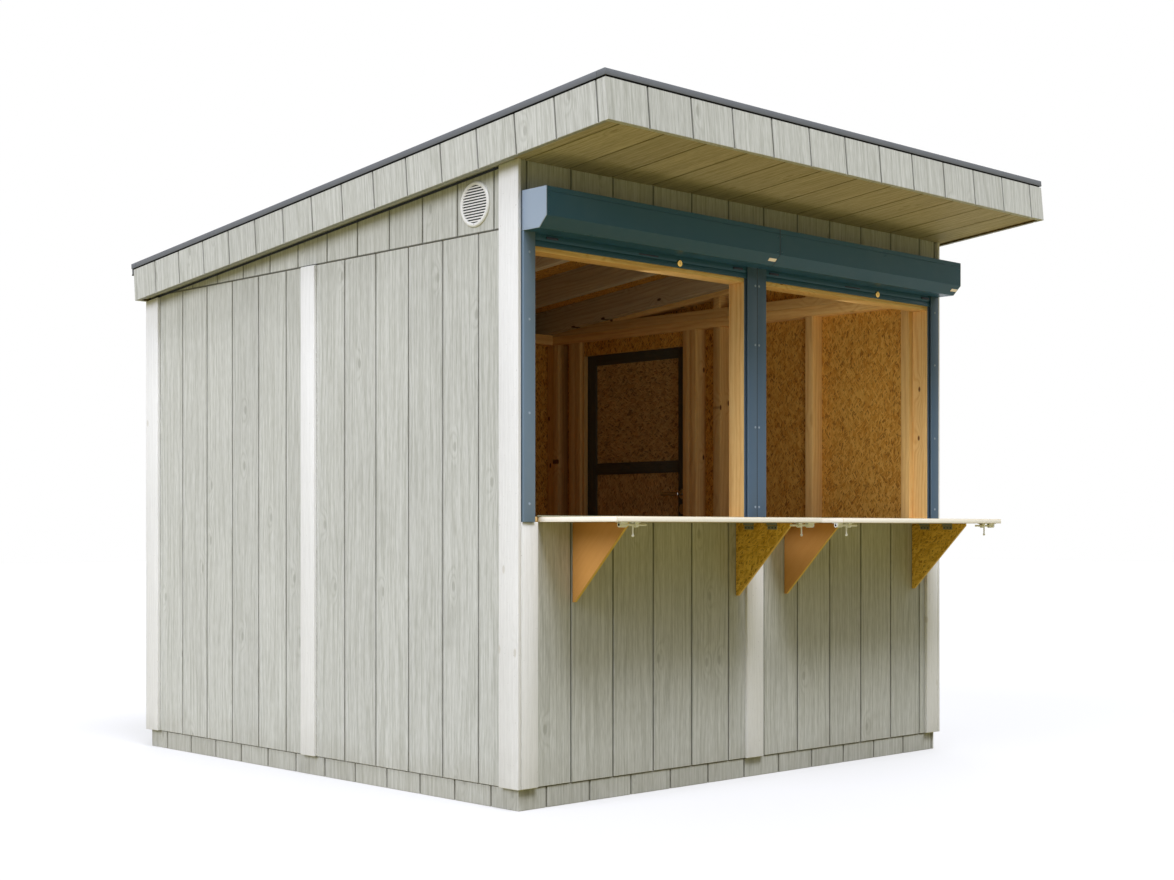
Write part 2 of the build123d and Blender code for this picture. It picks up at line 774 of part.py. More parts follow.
def vent_pieces():
    """A round louvred plate with two columns of slots either side of a centre rib."""
    place = Pos(-side_face - vent_thickness / 2, vent_y(), vent_z()) * Rot(0, -90, 0)
    plate = place * Cylinder(vent_radius, vent_thickness)
    inner = place * Cylinder(vent_radius - vent_rim, vent_thickness)
    plate_x = (-side_face - vent_thickness, -side_face)
    slots = []
    for z in evenly(-1, 1, vent_slot_count):
        centre = vent_z() + z * vent_slot_pitch * (vent_slot_count - 1) / 2
        slots.append(block(plate_x, around(vent_y(), vent_radius * 2), around(centre, vent_slot_height)))
    rib = block(plate_x, around(vent_y(), vent_rib), around(vent_z(), vent_radius * 2))
    for slot in slots:
        plate = plate - ((slot & inner) - rib)
    return {"vent_grille": [plate]}


def all_pieces():
    pieces = {}
    for group in (
        floor_pieces(),
        plate_pieces(),
        stud_pieces(),
        opening_pieces(),
        siding_pieces(),
        board_pieces(),
        roof_pieces(),
        shutter_pieces(),
        counter_pieces(),
        bracket_pieces(),
        bolt_pieces(),
        door_pieces(),
        vent_pieces(),
    ):
        pieces.update(group)
    return pieces


os.makedirs("parts", exist_ok=True)
for node, solids in all_pieces().items():
    bodies = [solid for shape in solids for solid in shape.solids()]
    export_step(Compound(children=bodies) if len(bodies) > 1 else bodies[0], "parts/%s.step" % node)
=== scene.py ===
# %% [markdown]
# # A wooden market hut, dressed for its photograph
# The imported model is the hut's carpentry: every wall sheet, stud, counter and bracket sits where it is built.
# Here each of those pieces gets the shape and finish that a visitor would see. We load the model first.

# %% Load the imported model
import json
import math
import random

import bmesh
import bpy
import numpy as np
from mathutils import Matrix, Vector

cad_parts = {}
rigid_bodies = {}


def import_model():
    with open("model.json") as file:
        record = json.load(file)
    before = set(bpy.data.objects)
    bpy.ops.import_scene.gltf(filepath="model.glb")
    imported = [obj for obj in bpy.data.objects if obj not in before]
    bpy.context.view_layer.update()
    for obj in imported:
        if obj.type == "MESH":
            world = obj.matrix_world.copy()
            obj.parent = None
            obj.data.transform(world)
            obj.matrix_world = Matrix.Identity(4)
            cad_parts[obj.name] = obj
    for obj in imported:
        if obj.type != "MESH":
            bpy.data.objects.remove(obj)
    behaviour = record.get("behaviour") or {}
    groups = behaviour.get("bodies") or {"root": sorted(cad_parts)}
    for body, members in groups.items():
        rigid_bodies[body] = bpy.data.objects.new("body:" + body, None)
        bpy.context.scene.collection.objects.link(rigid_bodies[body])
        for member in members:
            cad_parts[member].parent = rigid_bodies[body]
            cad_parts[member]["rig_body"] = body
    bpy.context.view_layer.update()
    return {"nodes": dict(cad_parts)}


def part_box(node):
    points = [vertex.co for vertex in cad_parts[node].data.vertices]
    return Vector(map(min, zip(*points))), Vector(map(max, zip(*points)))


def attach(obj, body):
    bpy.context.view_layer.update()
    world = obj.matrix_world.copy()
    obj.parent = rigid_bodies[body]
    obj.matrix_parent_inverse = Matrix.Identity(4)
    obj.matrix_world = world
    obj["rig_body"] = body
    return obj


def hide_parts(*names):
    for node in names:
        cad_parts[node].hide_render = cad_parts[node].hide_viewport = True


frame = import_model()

scene = bpy.context.scene

# %% [markdown]
# ## The camera
# The photograph was taken at about chest height, level, from the front left corner, and then cropped. A level
# camera keeps upright edges upright, and the crop becomes the camera's shift. Its place comes from matching
# the hut's corners to their pixels in an image of 1174 by 880.

# %% Camera
image_width, image_height = 1174, 880
focal_pixels = 1710.0
optical_centre = (664.0, 529.4)
camera_data = bpy.data.cameras.new("photo_camera")
camera_data.sensor_width = 36.0
camera_data.lens = focal_pixels / image_width * camera_data.sensor_width
camera_data.shift_x = (image_width / 2 - optical_centre[0]) / image_width
camera_data.shift_y = (optical_centre[1] - image_height / 2) / image_width
camera = bpy.data.objects.new("photo_camera", camera_data)
camera.location = (-4.968, -5.7345, 0.9628)
camera.rotation_euler = (math.radians(90), 0, math.radians(-45.043))
scene.collection.objects.link(camera)
scene.camera = camera
scene.view_settings.view_transform = "Standard"
print("lens", round(camera_data.lens, 2), "mm")

# %% [markdown]
# ## Light
# The hut stands in soft daylight: broad lamps from the left and from above, an even sky, and a warm bounce from the
# ground, which makes the boards under the roof look browner than the walls; their colour is also painted browner, as
# painted bounce light. A weaker lamp keeps the far walls readable, and a narrow strip of light in each serving
# opening lifts the room.

# %% Lamps


def add_lamp(name, kind, energy):
    lamp = bpy.data.objects.new(name, bpy.data.lights.new(name, kind))
    lamp.data.energy = energy
    scene.collection.objects.link(lamp)
    return lamp


def soft_sun(name, towards, strength, spread, tint=(1, 1, 1)):
    """A lamp that shines from a direction, with a wide disc for soft shadows."""
    lamp = add_lamp(name, "SUN", strength)
    lamp.data.angle = math.radians(spread)
    lamp.data.color = tint
    lamp.rotation_euler = Vector(towards).to_track_quat("Z", "Y").to_euler()


soft_sun("side_light", (-0.86, -0.03, 0.51), 1.9, 36, (0.93, 0.95, 1.09))
soft_sun("high_light", (-0.12, -0.46, 0.88), 2.9, 26, (0.96, 0.98, 1.08))
soft_sun("far_side_light", (0.62, 0.60, 0.50), 1.1, 60)
strip_width, strip_height, strip_y, strip_z, strip_turn = 0.20, 0.85, -1.17, 1.46, -42


def opening_light(name, x, energy):
    """An upright strip of soft light in a serving opening, behind the place of a folded counter."""
    lamp = add_lamp(name, "AREA", energy)
    lamp.data.shape = "RECTANGLE"
    lamp.data.size, lamp.data.size_y = strip_width, strip_height
    lamp.location = (x, strip_y, strip_z)
    lamp.rotation_euler = (math.radians(90), 0, math.radians(strip_turn))
    lamp.visible_camera = False


opening_light("left_opening_light", -0.60, 1.05)
opening_light("right_opening_light", 0.56, 1.15)
print("three sun lamps and two soft lights in the openings")

# %% [markdown]
# Node trees are easier to read when each node is one short line, so a few helpers come first. Each returns the
# socket or sockets that the next line needs.

# %% Node helpers


def feed(socket, value):
    """Links a socket to another, or sets its plain value."""
    if isinstance(value, bpy.types.NodeSocket):
        socket.id_data.links.new(value, socket)
    else:
        socket.default_value = value


def add_node(kind, values=(), tree=None, **settings):
    """Adds a node, with what its sockets get, in order or by name. A socket among them tells its tree."""
    values = values if isinstance(values, dict) else dict(enumerate(values))
    sockets = [value for value in values.values() if isinstance(value, bpy.types.NodeSocket)]
    node = (tree or sockets[0].id_data).nodes.new(kind)
    for name, setting in settings.items():
        setattr(node, name, setting)
    for place, value in values.items():
        feed(node.inputs[place], value)
    return node.outputs


def maths(operation, *values, clamp=False):
    return add_node("ShaderNodeMath", values, operation=operation, use_clamp=clamp)[0]


def times(first, second, plus=0.0, clamp=False):
    """One value times another, plus a third."""
    return maths("MULTIPLY_ADD", first, second, plus, clamp=clamp)


def between(value, low, high, new_low=0.0, new_high=1.0):
    """Stretches a value from one range to another, and clamps it."""
    values = (value, low, high, new_low, new_high)
    return add_node("ShaderNodeMapRange", values, interpolation_type="SMOOTHSTEP")[0]


def split(vector):
    return add_node("ShaderNodeSeparateXYZ", [vector])


def mixed(share, first, second):
    """Two shaders, with the second's share."""
    return add_node("ShaderNodeMixShader", (share, first, second))[0]


print("node helpers ready")

# %% [markdown]
# ## Sky and floor
# The sky is brightest overhead and to the left. For the camera, and for rays that a glossy or clear surface sends
# on, the world is white and the floor nearly so, which leaves a clean background with a faint shadow.

# %% World and floor
world = bpy.data.worlds.new("daylight")
world.use_nodes = True
scene.world = world
tree = world.node_tree
sky, output = tree.nodes["Background"], tree.nodes["World Output"]
sky.inputs["Color"].default_value = (0.95, 0.97, 1.05, 1.0)
aim = split(add_node("ShaderNodeTexCoord", tree=tree)["Generated"])
overhead = between(aim["Z"], 0.10, 0.80, 0.05, 0.80)
aside = maths("POWER", maths("MAXIMUM", times(aim["X"], -1.0), 0.0), 5.0)
feed(sky.inputs["Strength"], times(aside, 0.45, overhead))
white = add_node("ShaderNodeBackground", [(1.0, 1.0, 1.0, 1.0)], tree)[0]


def seen_directly(tree):
    """One for rays from the camera, and for those that a glossy or clear surface sends on."""
    ray = add_node("ShaderNodeLightPath", tree=tree)
    mirrored = maths("MAXIMUM", ray["Is Glossy Ray"], ray["Is Transmission Ray"])
    return maths("MAXIMUM", ray["Is Camera Ray"], mirrored)


feed(output.inputs["Surface"], mixed(seen_directly(tree), sky.outputs[0], white))

ground = bpy.data.materials.new("pale_ground")
ground.use_nodes = True
tree = ground.node_tree
tree.nodes.clear()
output = tree.nodes.new("ShaderNodeOutputMaterial")
bounce = add_node("ShaderNodeBsdfDiffuse", [(0.215, 0.186, 0.058, 1.0)], tree)[0]
shade = add_node("ShaderNodeBsdfDiffuse", [(0.62, 0.62, 0.62, 1.0)], tree)[0]
glow = add_node("ShaderNodeEmission", {"Strength": 1.0}, tree)[0]
seen = mixed(0.5, shade, glow)
feed(output.inputs["Surface"], mixed(seen_directly(tree), bounce, seen))

reach, sunk = 40.0, 0.001
floor_mesh = bpy.data.meshes.new("studio_floor")
corners = [(-reach, -reach, 0), (reach, -reach, 0), (reach, reach, 0), (-reach, reach, 0)]
floor_mesh.from_pydata(corners, [], [(0, 1, 2, 3)])
floor_mesh.materials.append(ground)
studio_floor = bpy.data.objects.new("studio_floor", floor_mesh)
studio_floor.location.z = -sunk
scene.collection.objects.link(studio_floor)
print("floor", 2 * reach, "m across")

# %% [markdown]
# ## Grain that follows every board
# Wood only looks like wood when its grain runs along the board. Object coordinates can't know that, so each
# piece carries two attributes: "grain", which is a place measured along, across and through its own board, with
# a random start, and "tone", which makes one board a little lighter than the next. The group below turns the
# grain into growth rings, fine streaks and knots that any wooden finish can tint.

# %% Board grain group


def shader_group(name, inputs, outputs):
    """A node group with named sockets: plain values, apart from the grain. It comes with its two ends."""
    tree = bpy.data.node_groups.new(name, "ShaderNodeTree")
    for label, value in inputs.items():
        kind = "NodeSocketVector" if label == "Grain" else "NodeSocketFloat"
        socket = tree.interface.new_socket(name=label, in_out="INPUT", socket_type=kind)
        if value is not None:
            socket.default_value = value
    for label in outputs:
        tree.interface.new_socket(name=label, in_out="OUTPUT", socket_type="NodeSocketFloat")
    return tree, tree.nodes.new("NodeGroupInput").outputs, tree.nodes.new("NodeGroupOutput").inputs


def scaled(vector, factors):
    return add_node("ShaderNodeVectorMath", (vector, factors), operation="MULTIPLY")[0]


def noise(vector, scale=1.0, detail=3.0, distortion=0.0):
    values = {"Vector": vector, "Scale": scale, "Detail": detail, "Distortion": distortion}
    return add_node("ShaderNodeTexNoise", values)["Fac"]


def cells(vector, dimensions="3D"):
    """Random cells: the distance to the nearest cell's point, and that cell's random colour in three parts."""
    values = {"Vector": vector, "Scale": 1.0}
    found = add_node("ShaderNodeTexVoronoi", values, voronoi_dimensions=dimensions)
    return found["Distance"], add_node("ShaderNodeSeparateColor", [found["Color"]])


tree, given, made = shader_group(
    "board_grain", {"Grain": None, "Rings Per Metre": 55.0, "Knot Share": 0.4, "Knot Size": 0.1},
    ("Rings", "Streaks", "Knots", "Height"))
grain = given["Grain"]
from_knot, pick = cells(scaled(grain, (4.2, 9.0, 1.0)), "2D")
chosen = maths("LESS_THAN", pick[0], given["Knot Share"])
from_eye = maths("DIVIDE", from_knot, given["Knot Size"])
eye = times(chosen, between(from_eye, 1.0, 0.5))
halo = times(chosen, between(from_knot, 0.36, 0.05))
axes = split(grain)
drift = times(noise(scaled(grain, (1.1, 9.0, 9.0)), 1.0, 2.0), 5.0)
through = maths("ADD", axes["Y"], times(axes["Z"], 0.6))
phase = times(through, given["Rings Per Metre"], drift)
phase = times(halo, 1.7, phase)
wave = maths("SINE", times(phase, math.tau))
rings = maths("POWER", times(wave, 0.5, 0.5), 2.4)
long_streaks = noise(scaled(grain, (3.0, 150.0, 150.0)), 1.0, 4.0)
dashes = noise(scaled(grain, (22.0, 260.0, 260.0)), 1.0, 2.0)
streaks = times(dashes, 0.45, times(long_streaks, 0.55))
pores = noise(scaled(grain, (14.0, 700.0, 700.0)), 1.0, 2.0)
height = times(pores, 0.35, times(rings, -0.35, times(streaks, 0.9)))
feed(made["Rings"], rings)
feed(made["Streaks"], streaks)
feed(made["Knots"], eye)
feed(made["Height"], times(eye, -0.5, height))
board_grain = tree
print("group", board_grain.name, len(board_grain.nodes), "nodes")

# %% [markdown]
# ## Pressed strands
# The inside of the walls, the door's panels and the brackets' inner faces show strand board: flat flakes,
# pressed in every direction. Three layers of stretched cells, each turned another way, stand for the flakes.
# Where layers overlap, the one with the higher random number lies on top, as in the real press.

# %% Strand group
tree, given, made = shader_group("pressed_strands", {"Grain": None}, ("Tone", "Edges", "Height"))
flake_layers = ((0.15, (34.0, 150.0, 90.0)), (0.75, (40.0, 170.0, 90.0)), (-0.55, (30.0, 130.0, 90.0)))
top_height, top_tone = None, None
for angle, stretch in flake_layers:
    values = {"Vector": given["Grain"], "Angle": angle}
    turned_grain = add_node("ShaderNodeVectorRotate", values, rotation_type="Z_AXIS")[0]
    from_middle, pick = cells(scaled(turned_grain, stretch))
    rim = between(from_middle, 0.75, 0.35)
    fibre = noise(scaled(turned_grain, (20.0, 420.0, 40.0)), 1.0, 2.0)
    tone = times(fibre, 0.45, times(pick[1], 0.75))
    lift = times(pick[0], rim)
    if top_height is None:
        top_height, top_tone = lift, tone
    else:
        above = maths("GREATER_THAN", lift, top_height)
        below = maths("SUBTRACT", 1.0, above)
        top_tone = times(above, tone, times(below, top_tone))
        top_height = maths("MAXIMUM", lift, top_height)
feed(made["Tone"], top_tone)
feed(made["Edges"], between(top_height, 0.34, 0.12))
feed(made["Height"], times(top_tone, 0.3, top_height))
pressed_strands = tree
print("group", pressed_strands.name, len(pressed_strands.nodes), "nodes")

# %% [markdown]
# ## Weather
# Rain splashes the lowest boards, and the paint is a little uneven everywhere. One group gives a splash mask
# that fades out above the plinth, a slow cloudiness, and the fine specks that show on white paint.

# %% Weather group


def place_on_piece(tree):
    return add_node("ShaderNodeTexCoord", tree=tree)["Object"]


tree, given, made = shader_group("weather", {"Splash Height": 0.32}, ("Splash", "Clouds", "Specks"))
place = place_on_piece(tree)
ragged = times(noise(place, 9.0, 5.0), 0.28, split(place)["Z"])
splash = between(maths("SUBTRACT", given["Splash Height"], ragged), -0.06, 0.24)
feed(made["Splash"], splash)
feed(made["Clouds"], noise(place, 1.7, 4.0))
feed(made["Specks"], between(noise(place, 160.0, 2.0), 0.70, 0.80))
weather = tree
print("group", weather.name, len(weather.nodes), "nodes")

# %% [markdown]
# ## Wooden finishes
# Siding, white boards, planed pine and plywood are all wood under some coat, so one function builds them from
# the grain group. What changes is the two colours that the rings and streaks mix, how strong each is, and how
# rough and deep the surface feels.

# %% Wooden finishes


def finish(name, roughness, metallic=0.0, specular=0.5):
    """A material with a Principled shader whose plain values are set directly."""
    material = bpy.data.materials.new(name)
    material.use_nodes = True
    shader = material.node_tree.nodes["Principled BSDF"]
    for label, value in (("Roughness", roughness), ("Metallic", metallic), ("Specular IOR Level", specular)):
        shader.inputs[label].default_value = value
    return material, material.node_tree, shader


def attribute(tree, name, output):
    return add_node("ShaderNodeAttribute", tree=tree, attribute_name=name)[output]


def bumped(shader, height, depth):
    values = {"Distance": depth, "Strength": 1.0, "Height": height}
    feed(shader.inputs["Normal"], add_node("ShaderNodeBump", values)[0])


def colour(red, green, blue):
    """A colour as read off a screen, from 0 to 255, as the linear values that shaders use."""
    parts = [part / 255 for part in (red, green, blue)]
    return [part / 12.92 if part <= 0.04045 else ((part + 0.055) / 1.055) ** 2.4 for part in parts] + [1.0]


def blended(factor, first, second, blend="MIX"):
    values = {0: factor, 6: first, 7: second}
    return add_node("ShaderNodeMix", values, data_type="RGBA", blend_type=blend)[2]


# The first grey is painted shade, mixed into groove floors, lips and sheet edges through the "groove" attribute; the
# splash and speck greys are real weather marks.
painted_shade_grey, splash_grey, speck_grey = colour(52, 52, 44), colour(132, 126, 104), colour(120, 116, 104)


def wooden(name, light, dark, knot, rings=0.35, streaks=0.4, knots=0.95, knot_share=0.4, knot_size=0.1,
           ring_count=50.0, roughness=0.6, relief=0.0004, tones=0.3, splash=0.0, specks=0.0, groove_painted_shade=0.62):
    """A wooden finish from its light, dark and knot colours, with the strength of each mark."""
    material, tree, shader = finish(name, roughness, specular=0.15)
    values = {"Grain": attribute(tree, "grain", "Vector"), "Rings Per Metre": ring_count,
              "Knot Share": knot_share, "Knot Size": knot_size}
    board = add_node("ShaderNodeGroup", values, node_tree=board_grain)
    air = add_node("ShaderNodeGroup", tree=tree, node_tree=weather)
    streak = between(board["Streaks"], 0.34, 0.66)
    mark = times(streak, streaks, times(board["Rings"], rings), clamp=True)
    tint = blended(mark, colour(*light), colour(*dark))
    tint = blended(times(board["Knots"], knots), tint, colour(*knot))
    tone = times(attribute(tree, "tone", "Fac"), tones, 1.0 - tones / 2)
    evenness = times(tone, times(air["Clouds"], 0.16, 0.92))
    grey = add_node("ShaderNodeCombineColor", [evenness] * 3)[0]
    tint = blended(1.0, tint, grey, "MULTIPLY")
    # Painted shade: the "groove" attribute darkens grooves, lips and sheet edges towards the first grey.
    tint = blended(times(attribute(tree, "groove", "Fac"), groove_painted_shade), tint, painted_shade_grey)
    if splash:
        tint = blended(times(air["Splash"], splash), tint, splash_grey)
    if specks:
        tint = blended(times(air["Specks"], specks), tint, speck_grey)
    feed(shader.inputs["Base Color"], tint)
    feed(shader.inputs["Roughness"], times(board["Streaks"], 0.25, roughness - 0.12))
    bumped(shader, board["Height"], relief)
    return material


siding_paint = wooden(
    "siding_paint", (208, 209, 203), (176, 177, 168), (150, 150, 140), rings=0.30, streaks=0.8, knots=0.5,
    knot_share=0.14, ring_count=30.0, roughness=0.62, relief=0.0009, tones=0.07, splash=0.30)
# The soffit is the siding's own sheet; its browner colour is painted bounce light from the ground, and its grooves
# get more painted shade.
soffit_paint_with_painted_bounce = wooden(
    "soffit_paint_with_painted_bounce", (203, 191, 158), (162, 149, 114), (134, 119, 82), rings=0.25, streaks=0.8, knots=0.4,
    knot_share=0.14, ring_count=38.0, roughness=0.65, relief=0.0009, tones=0.14, groove_painted_shade=0.85)
white_paint = wooden(
    "white_paint", (236, 236, 234), (222, 222, 219), (196, 190, 176), rings=0.18, streaks=0.6, knots=0.5,
    knot_share=0.22, knot_size=0.08, ring_count=55.0, roughness=0.5, relief=0.0005, tones=0.03, splash=0.22,
    specks=0.5)
planed_pine = wooden(
    "planed_pine", (244, 208, 142), (216, 164, 92), (112, 62, 28), rings=0.4, knot_share=0.45, knot_size=0.06,
    ring_count=62.0, roughness=0.55, tones=0.22)
frame_pine = wooden("frame_pine", (240, 204, 136), (208, 160, 94), (104, 62, 32), knot_size=0.07)
# The rafters get a greyer copy of the frame's pine: painted shade.
shaded_rafter_pine = wooden("shaded_rafter_pine", (214, 206, 180), (178, 160, 126), (84, 58, 40), knot_size=0.08)
counter_ply = wooden(
    "counter_ply", (228, 214, 184), (206, 184, 142), (168, 134, 92), rings=0.4, streaks=0.45, knots=0.4,
    knot_share=0.12, ring_count=26.0, roughness=0.45, relief=0.0002, tones=0.05)
bracket_coat = wooden(
    "bracket_coat", (212, 156, 86), (198, 138, 70), (168, 106, 50), rings=0.12, streaks=0.25, knots=0.2,
    knot_share=0.08, ring_count=24.0, roughness=0.42, relief=0.0001, tones=0.06)
# The brackets' edges are golden board edges, made brighter than their own colour as painted light, so that they read
# lit in shade.
bracket_edge = wooden(
    "bracket_edge", (248, 212, 118), (230, 184, 84), (150, 106, 44), rings=0.2, streaks=0.5, knots=0.2,
    knot_share=0.1, ring_count=90.0, relief=0.0003, tones=0.05)
black_paint = wooden(
    "black_paint", (84, 84, 76), (68, 68, 62), (56, 56, 51), rings=0.3, streaks=0.5, knots=0.3, knot_share=0.35,
    ring_count=55.0, roughness=0.42, tones=0.1)
print("wooden finishes ready")

# %% [markdown]
# ## Strand board, plywood edges and roofing
# Strand board takes its colours from the flake group. A plywood edge shows its veneers as thin stripes through
# the sheet. The roof is covered with mineral-faced felt, dark grey with fine pale grit.

# %% Sheet finishes


def stranded(name, light, dark, seam):
    material, tree, shader = finish(name, 0.62, specular=0.15)
    values = {"Grain": attribute(tree, "grain", "Vector")}
    flakes = add_node("ShaderNodeGroup", values, node_tree=pressed_strands)
    tint = blended(between(flakes["Tone"], 0.15, 1.0), colour(*dark), colour(*light))
    tint = blended(times(flakes["Edges"], 0.75), tint, colour(*seam))
    feed(shader.inputs["Base Color"], tint)
    bumped(shader, flakes["Height"], 0.0008)
    return material


strand_board = stranded("strand_board", (232, 184, 92), (196, 138, 52), (132, 82, 28))
bracket_strands = stranded("bracket_strands", (250, 208, 96), (210, 162, 54), (156, 110, 34))
# The fascias' inner faces get a darker copy of strand board: painted shade.
fascia_back_painted_shade = stranded("fascia_back_painted_shade", (112, 92, 56), (88, 70, 40), (60, 46, 26))
# The door panels get a greyer copy of strand board: painted shade.
shaded_door_strands = stranded("shaded_door_strands", (212, 180, 120), (178, 138, 82), (118, 86, 50))

ply_edge, tree, shader = finish("ply_edge", 0.6, specular=0.2)
spot = place_on_piece(tree)
veneer_pair = 0.0056
veneers = maths("SINE", times(split(spot)["Z"], math.tau / veneer_pair))
grit = noise(spot, 240.0, 3.0)
stripe = times(veneers, 0.35, times(grit, 0.9), clamp=True)
feed(shader.inputs["Base Color"], blended(stripe, colour(255, 252, 242), colour(244, 234, 212)))
bumped(shader, grit, 0.0004)

roof_felt, tree, shader = finish("roof_felt", 0.9, specular=0.25)
spot = place_on_piece(tree)
minerals = noise(spot, 420.0, 2.0)
patches = noise(spot, 2.4, 5.0)
tint = blended(between(minerals, 0.42, 0.62), colour(52, 54, 56), colour(104, 106, 108))
tint = blended(times(patches, 0.5), tint, colour(70, 71, 70))
feed(shader.inputs["Base Color"], tint)
bumped(shader, minerals, 0.0012)
print("sheet finishes ready")

# %% [markdown]
# ## Metal, plastic and rubber
# Coated metal isn't perfectly even: it has an orange-peel ripple, a little dust, and a gloss that wanders. One
# group makes those, and each coated or bare metal places it with its own colour and roughness.

# %% Coated finishes
tree, given, made = shader_group("coat_surface", {"Ripple Scale": 300.0}, ("Gloss", "Dust", "Height"))
place = place_on_piece(tree)
feed(made["Height"], noise(place, given["Ripple Scale"], 2.0))
feed(made["Gloss"], noise(place, 7.0, 5.0, 0.4))
feed(made["Dust"], between(noise(place, 16.0, 6.0), 0.45, 0.75))
coat_surface = tree
dust_level, dust_share = 0.45, 0.3


def coated(name, base, roughness, metallic=0.0, dust=0.12, specular=0.5):
    material, tree, shader = finish(name, roughness, metallic, specular)
    coat = add_node("ShaderNodeGroup", tree=tree, node_tree=coat_surface)
    clean = colour(*base)
    pale = [part * (1 - dust_share) + dust_level * dust_share for part in clean[:3]] + [1.0]
    feed(shader.inputs["Base Color"], blended(times(coat["Dust"], dust), clean, pale))
    feed(shader.inputs["Roughness"], times(coat["Gloss"], 0.22, roughness - 0.11))
    bumped(shader, coat["Height"], 0.00008)
    return material


# The shutter paint comes in two copies: the first, darkened, is painted shade for the box faces and slats; the pale
# cap coat is painted light for the outer end plates, and also colours the small screws.
shaded_shutter_coat = coated("shaded_shutter_coat", (50, 92, 112), 0.32, specular=0.15, dust=0.05)
# The rails share one paint in two copies: a paler lit copy and a darker copy that is painted shade.
lit_rail_coat = coated("lit_rail_coat", (112, 132, 150), 0.32, specular=0.2)
shaded_rail_coat = coated("shaded_rail_coat", (88, 111, 135), 0.32, specular=0.12, dust=0.05)
lit_cap_and_screw_coat = coated("lit_cap_and_screw_coat", (154, 170, 188), 0.30, specular=0.3)
trim_coat = coated("trim_coat", (108, 111, 115), 0.5, dust=0.1, specular=0.12)
bolt_coat = coated("bolt_coat", (255, 255, 250), 0.36)
bright_steel = coated("bright_steel", (196, 196, 194), 0.3, metallic=1.0)
zinc_plate = coated("zinc_plate", (140, 142, 116), 0.5, metallic=0.3)
pale_brass = coated("pale_brass", (226, 206, 164), 0.3, metallic=0.5)
lock_brass = coated("lock_brass", (214, 172, 88), 0.28, metallic=1.0)
vent_plastic = coated("vent_plastic", (236, 236, 233), 0.4, dust=0.2)
dark_rubber = coated("dark_rubber", (30, 31, 32), 0.75)
print("coated finishes ready")

# %% [markdown]
# ## Tools for making pieces
# Real boards have eased edges, which catch a thin line of light, so a copy of a solid is welded, cleaned and
# bevelled rather than used raw. Every piece then gets its grain: for each separate board in the mesh, the
# longest direction through its points is the way that the grain runs.

# %% Grain and pieces
dice = random.Random(11)
start_range = 40


def random_start():
    return Vector([dice.uniform(0, start_range) for axis in range(3)])


def islands(bm):
    """The separate boards in a mesh, as lists of faces."""
    left = set(bm.faces)
    while left:
        start = min(left, key=lambda face: face.index)
        found, queue = {start}, [start]
        while queue:
            for edge in queue.pop().edges:
                for face in edge.link_faces:
                    if face not in found:
                        found.add(face)
                        queue.append(face)
        left -= found
        yield sorted(found, key=lambda face: face.index)


def lay_grain(bm):
    """Measures each board along, across and through its own length."""
    bm.verts.index_update()
    bm.faces.index_update()
    grain_layer = bm.loops.layers.float_vector.new("grain")
    tone_layer = bm.loops.layers.float.new("tone")
    for faces in islands(bm):
        # Points in a fixed order, so that every run rounds their sums alike and lays the same grain.
        corners = sorted({v for face in faces for v in face.verts}, key=lambda vertex: vertex.index)
        points = np.array([vertex.co for vertex in corners])
        spread = points - points.mean(0)
        directions = np.linalg.eigh(spread.T @ spread)[1]
        turn = Matrix(directions[:, ::-1].T.tolist())
        start, tone = random_start(), dice.random()
        for face in faces:
            for loop in face.loops:
                loop[grain_layer] = turn @ loop.vert.co + start
                loop[tone_layer] = tone


def add_piece(name, bm, body, finishes, nodes=(), smooth=38):
    """Makes a piece from a mesh, lets it ride on a body, and hides the solids that it stands for."""
    bmesh.ops.recalc_face_normals(bm, faces=bm.faces)
    if bm.loops.layers.float_vector.get("grain") is None:
        lay_grain(bm)
    mesh = bpy.data.meshes.new(name)
    bm.to_mesh(mesh)
    bm.free()
    for item in finishes:
        mesh.materials.append(item)
    mesh.shade_smooth()
    mesh.set_sharp_from_angle(angle=math.radians(smooth))
    piece = bpy.data.objects.new(name, mesh)
    scene.collection.objects.link(piece)
    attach(piece, body)
    if nodes:
        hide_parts(*nodes)
    return piece


print("grain starts within", start_range, "m")

# %% [markdown]
# A piece's mesh is made in one of four ways: eased from a solid, or drawn as a straight plank, as a turned form,
# or as an outline carried along an axis.

# %% Making shapes
weld, point_radius = 0.00001, 0.000001


def ease_edges(bm, ease, steps):
    """Rounds every edge that turns by more than 30 degrees."""
    sharp = [edge for edge in bm.edges if edge.is_manifold and edge.calc_face_angle() > math.radians(30)]
    bmesh.ops.bevel(bm, geom=sharp, offset=ease, segments=steps, profile=0.5, affect="EDGES", clamp_overlap=True)


def eased(node, finishes, ease=0.002, steps=2, choose=None):
    """A copy of a solid with eased edges. choose gives each face its finish."""
    source = frame["nodes"][node]
    bm = bmesh.new()
    bm.from_mesh(source.data)
    bmesh.ops.remove_doubles(bm, verts=bm.verts, dist=weld)
    bmesh.ops.dissolve_limit(bm, angle_limit=math.radians(0.6), verts=bm.verts, edges=bm.edges)
    bm.normal_update()
    for face in bm.faces:
        face.material_index = choose(face) if choose else 0
    ease_edges(bm, ease, steps)
    return add_piece(node + "_dressed", bm, source["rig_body"], finishes, [node])


def join(bm, part, mark):
    """Adds a part to a mesh, with one finish."""
    for face in part.faces:
        face.material_index = mark
    mesh = bpy.data.meshes.new("part")
    part.to_mesh(mesh)
    part.free()
    bm.from_mesh(mesh)
    bpy.data.meshes.remove(mesh)


def plank(bm, low, high, ease=0.001, steps=2, mark=0):
    """A straight piece between two corners, with eased edges."""
    part = bmesh.new()
    for vertex in bmesh.ops.create_cube(part, size=1.0)["verts"]:
        for axis in range(3):
            vertex.co[axis] = low[axis] if vertex.co[axis] < 0 else high[axis]
    ease_edges(part, ease, steps)
    join(bm, part, mark)


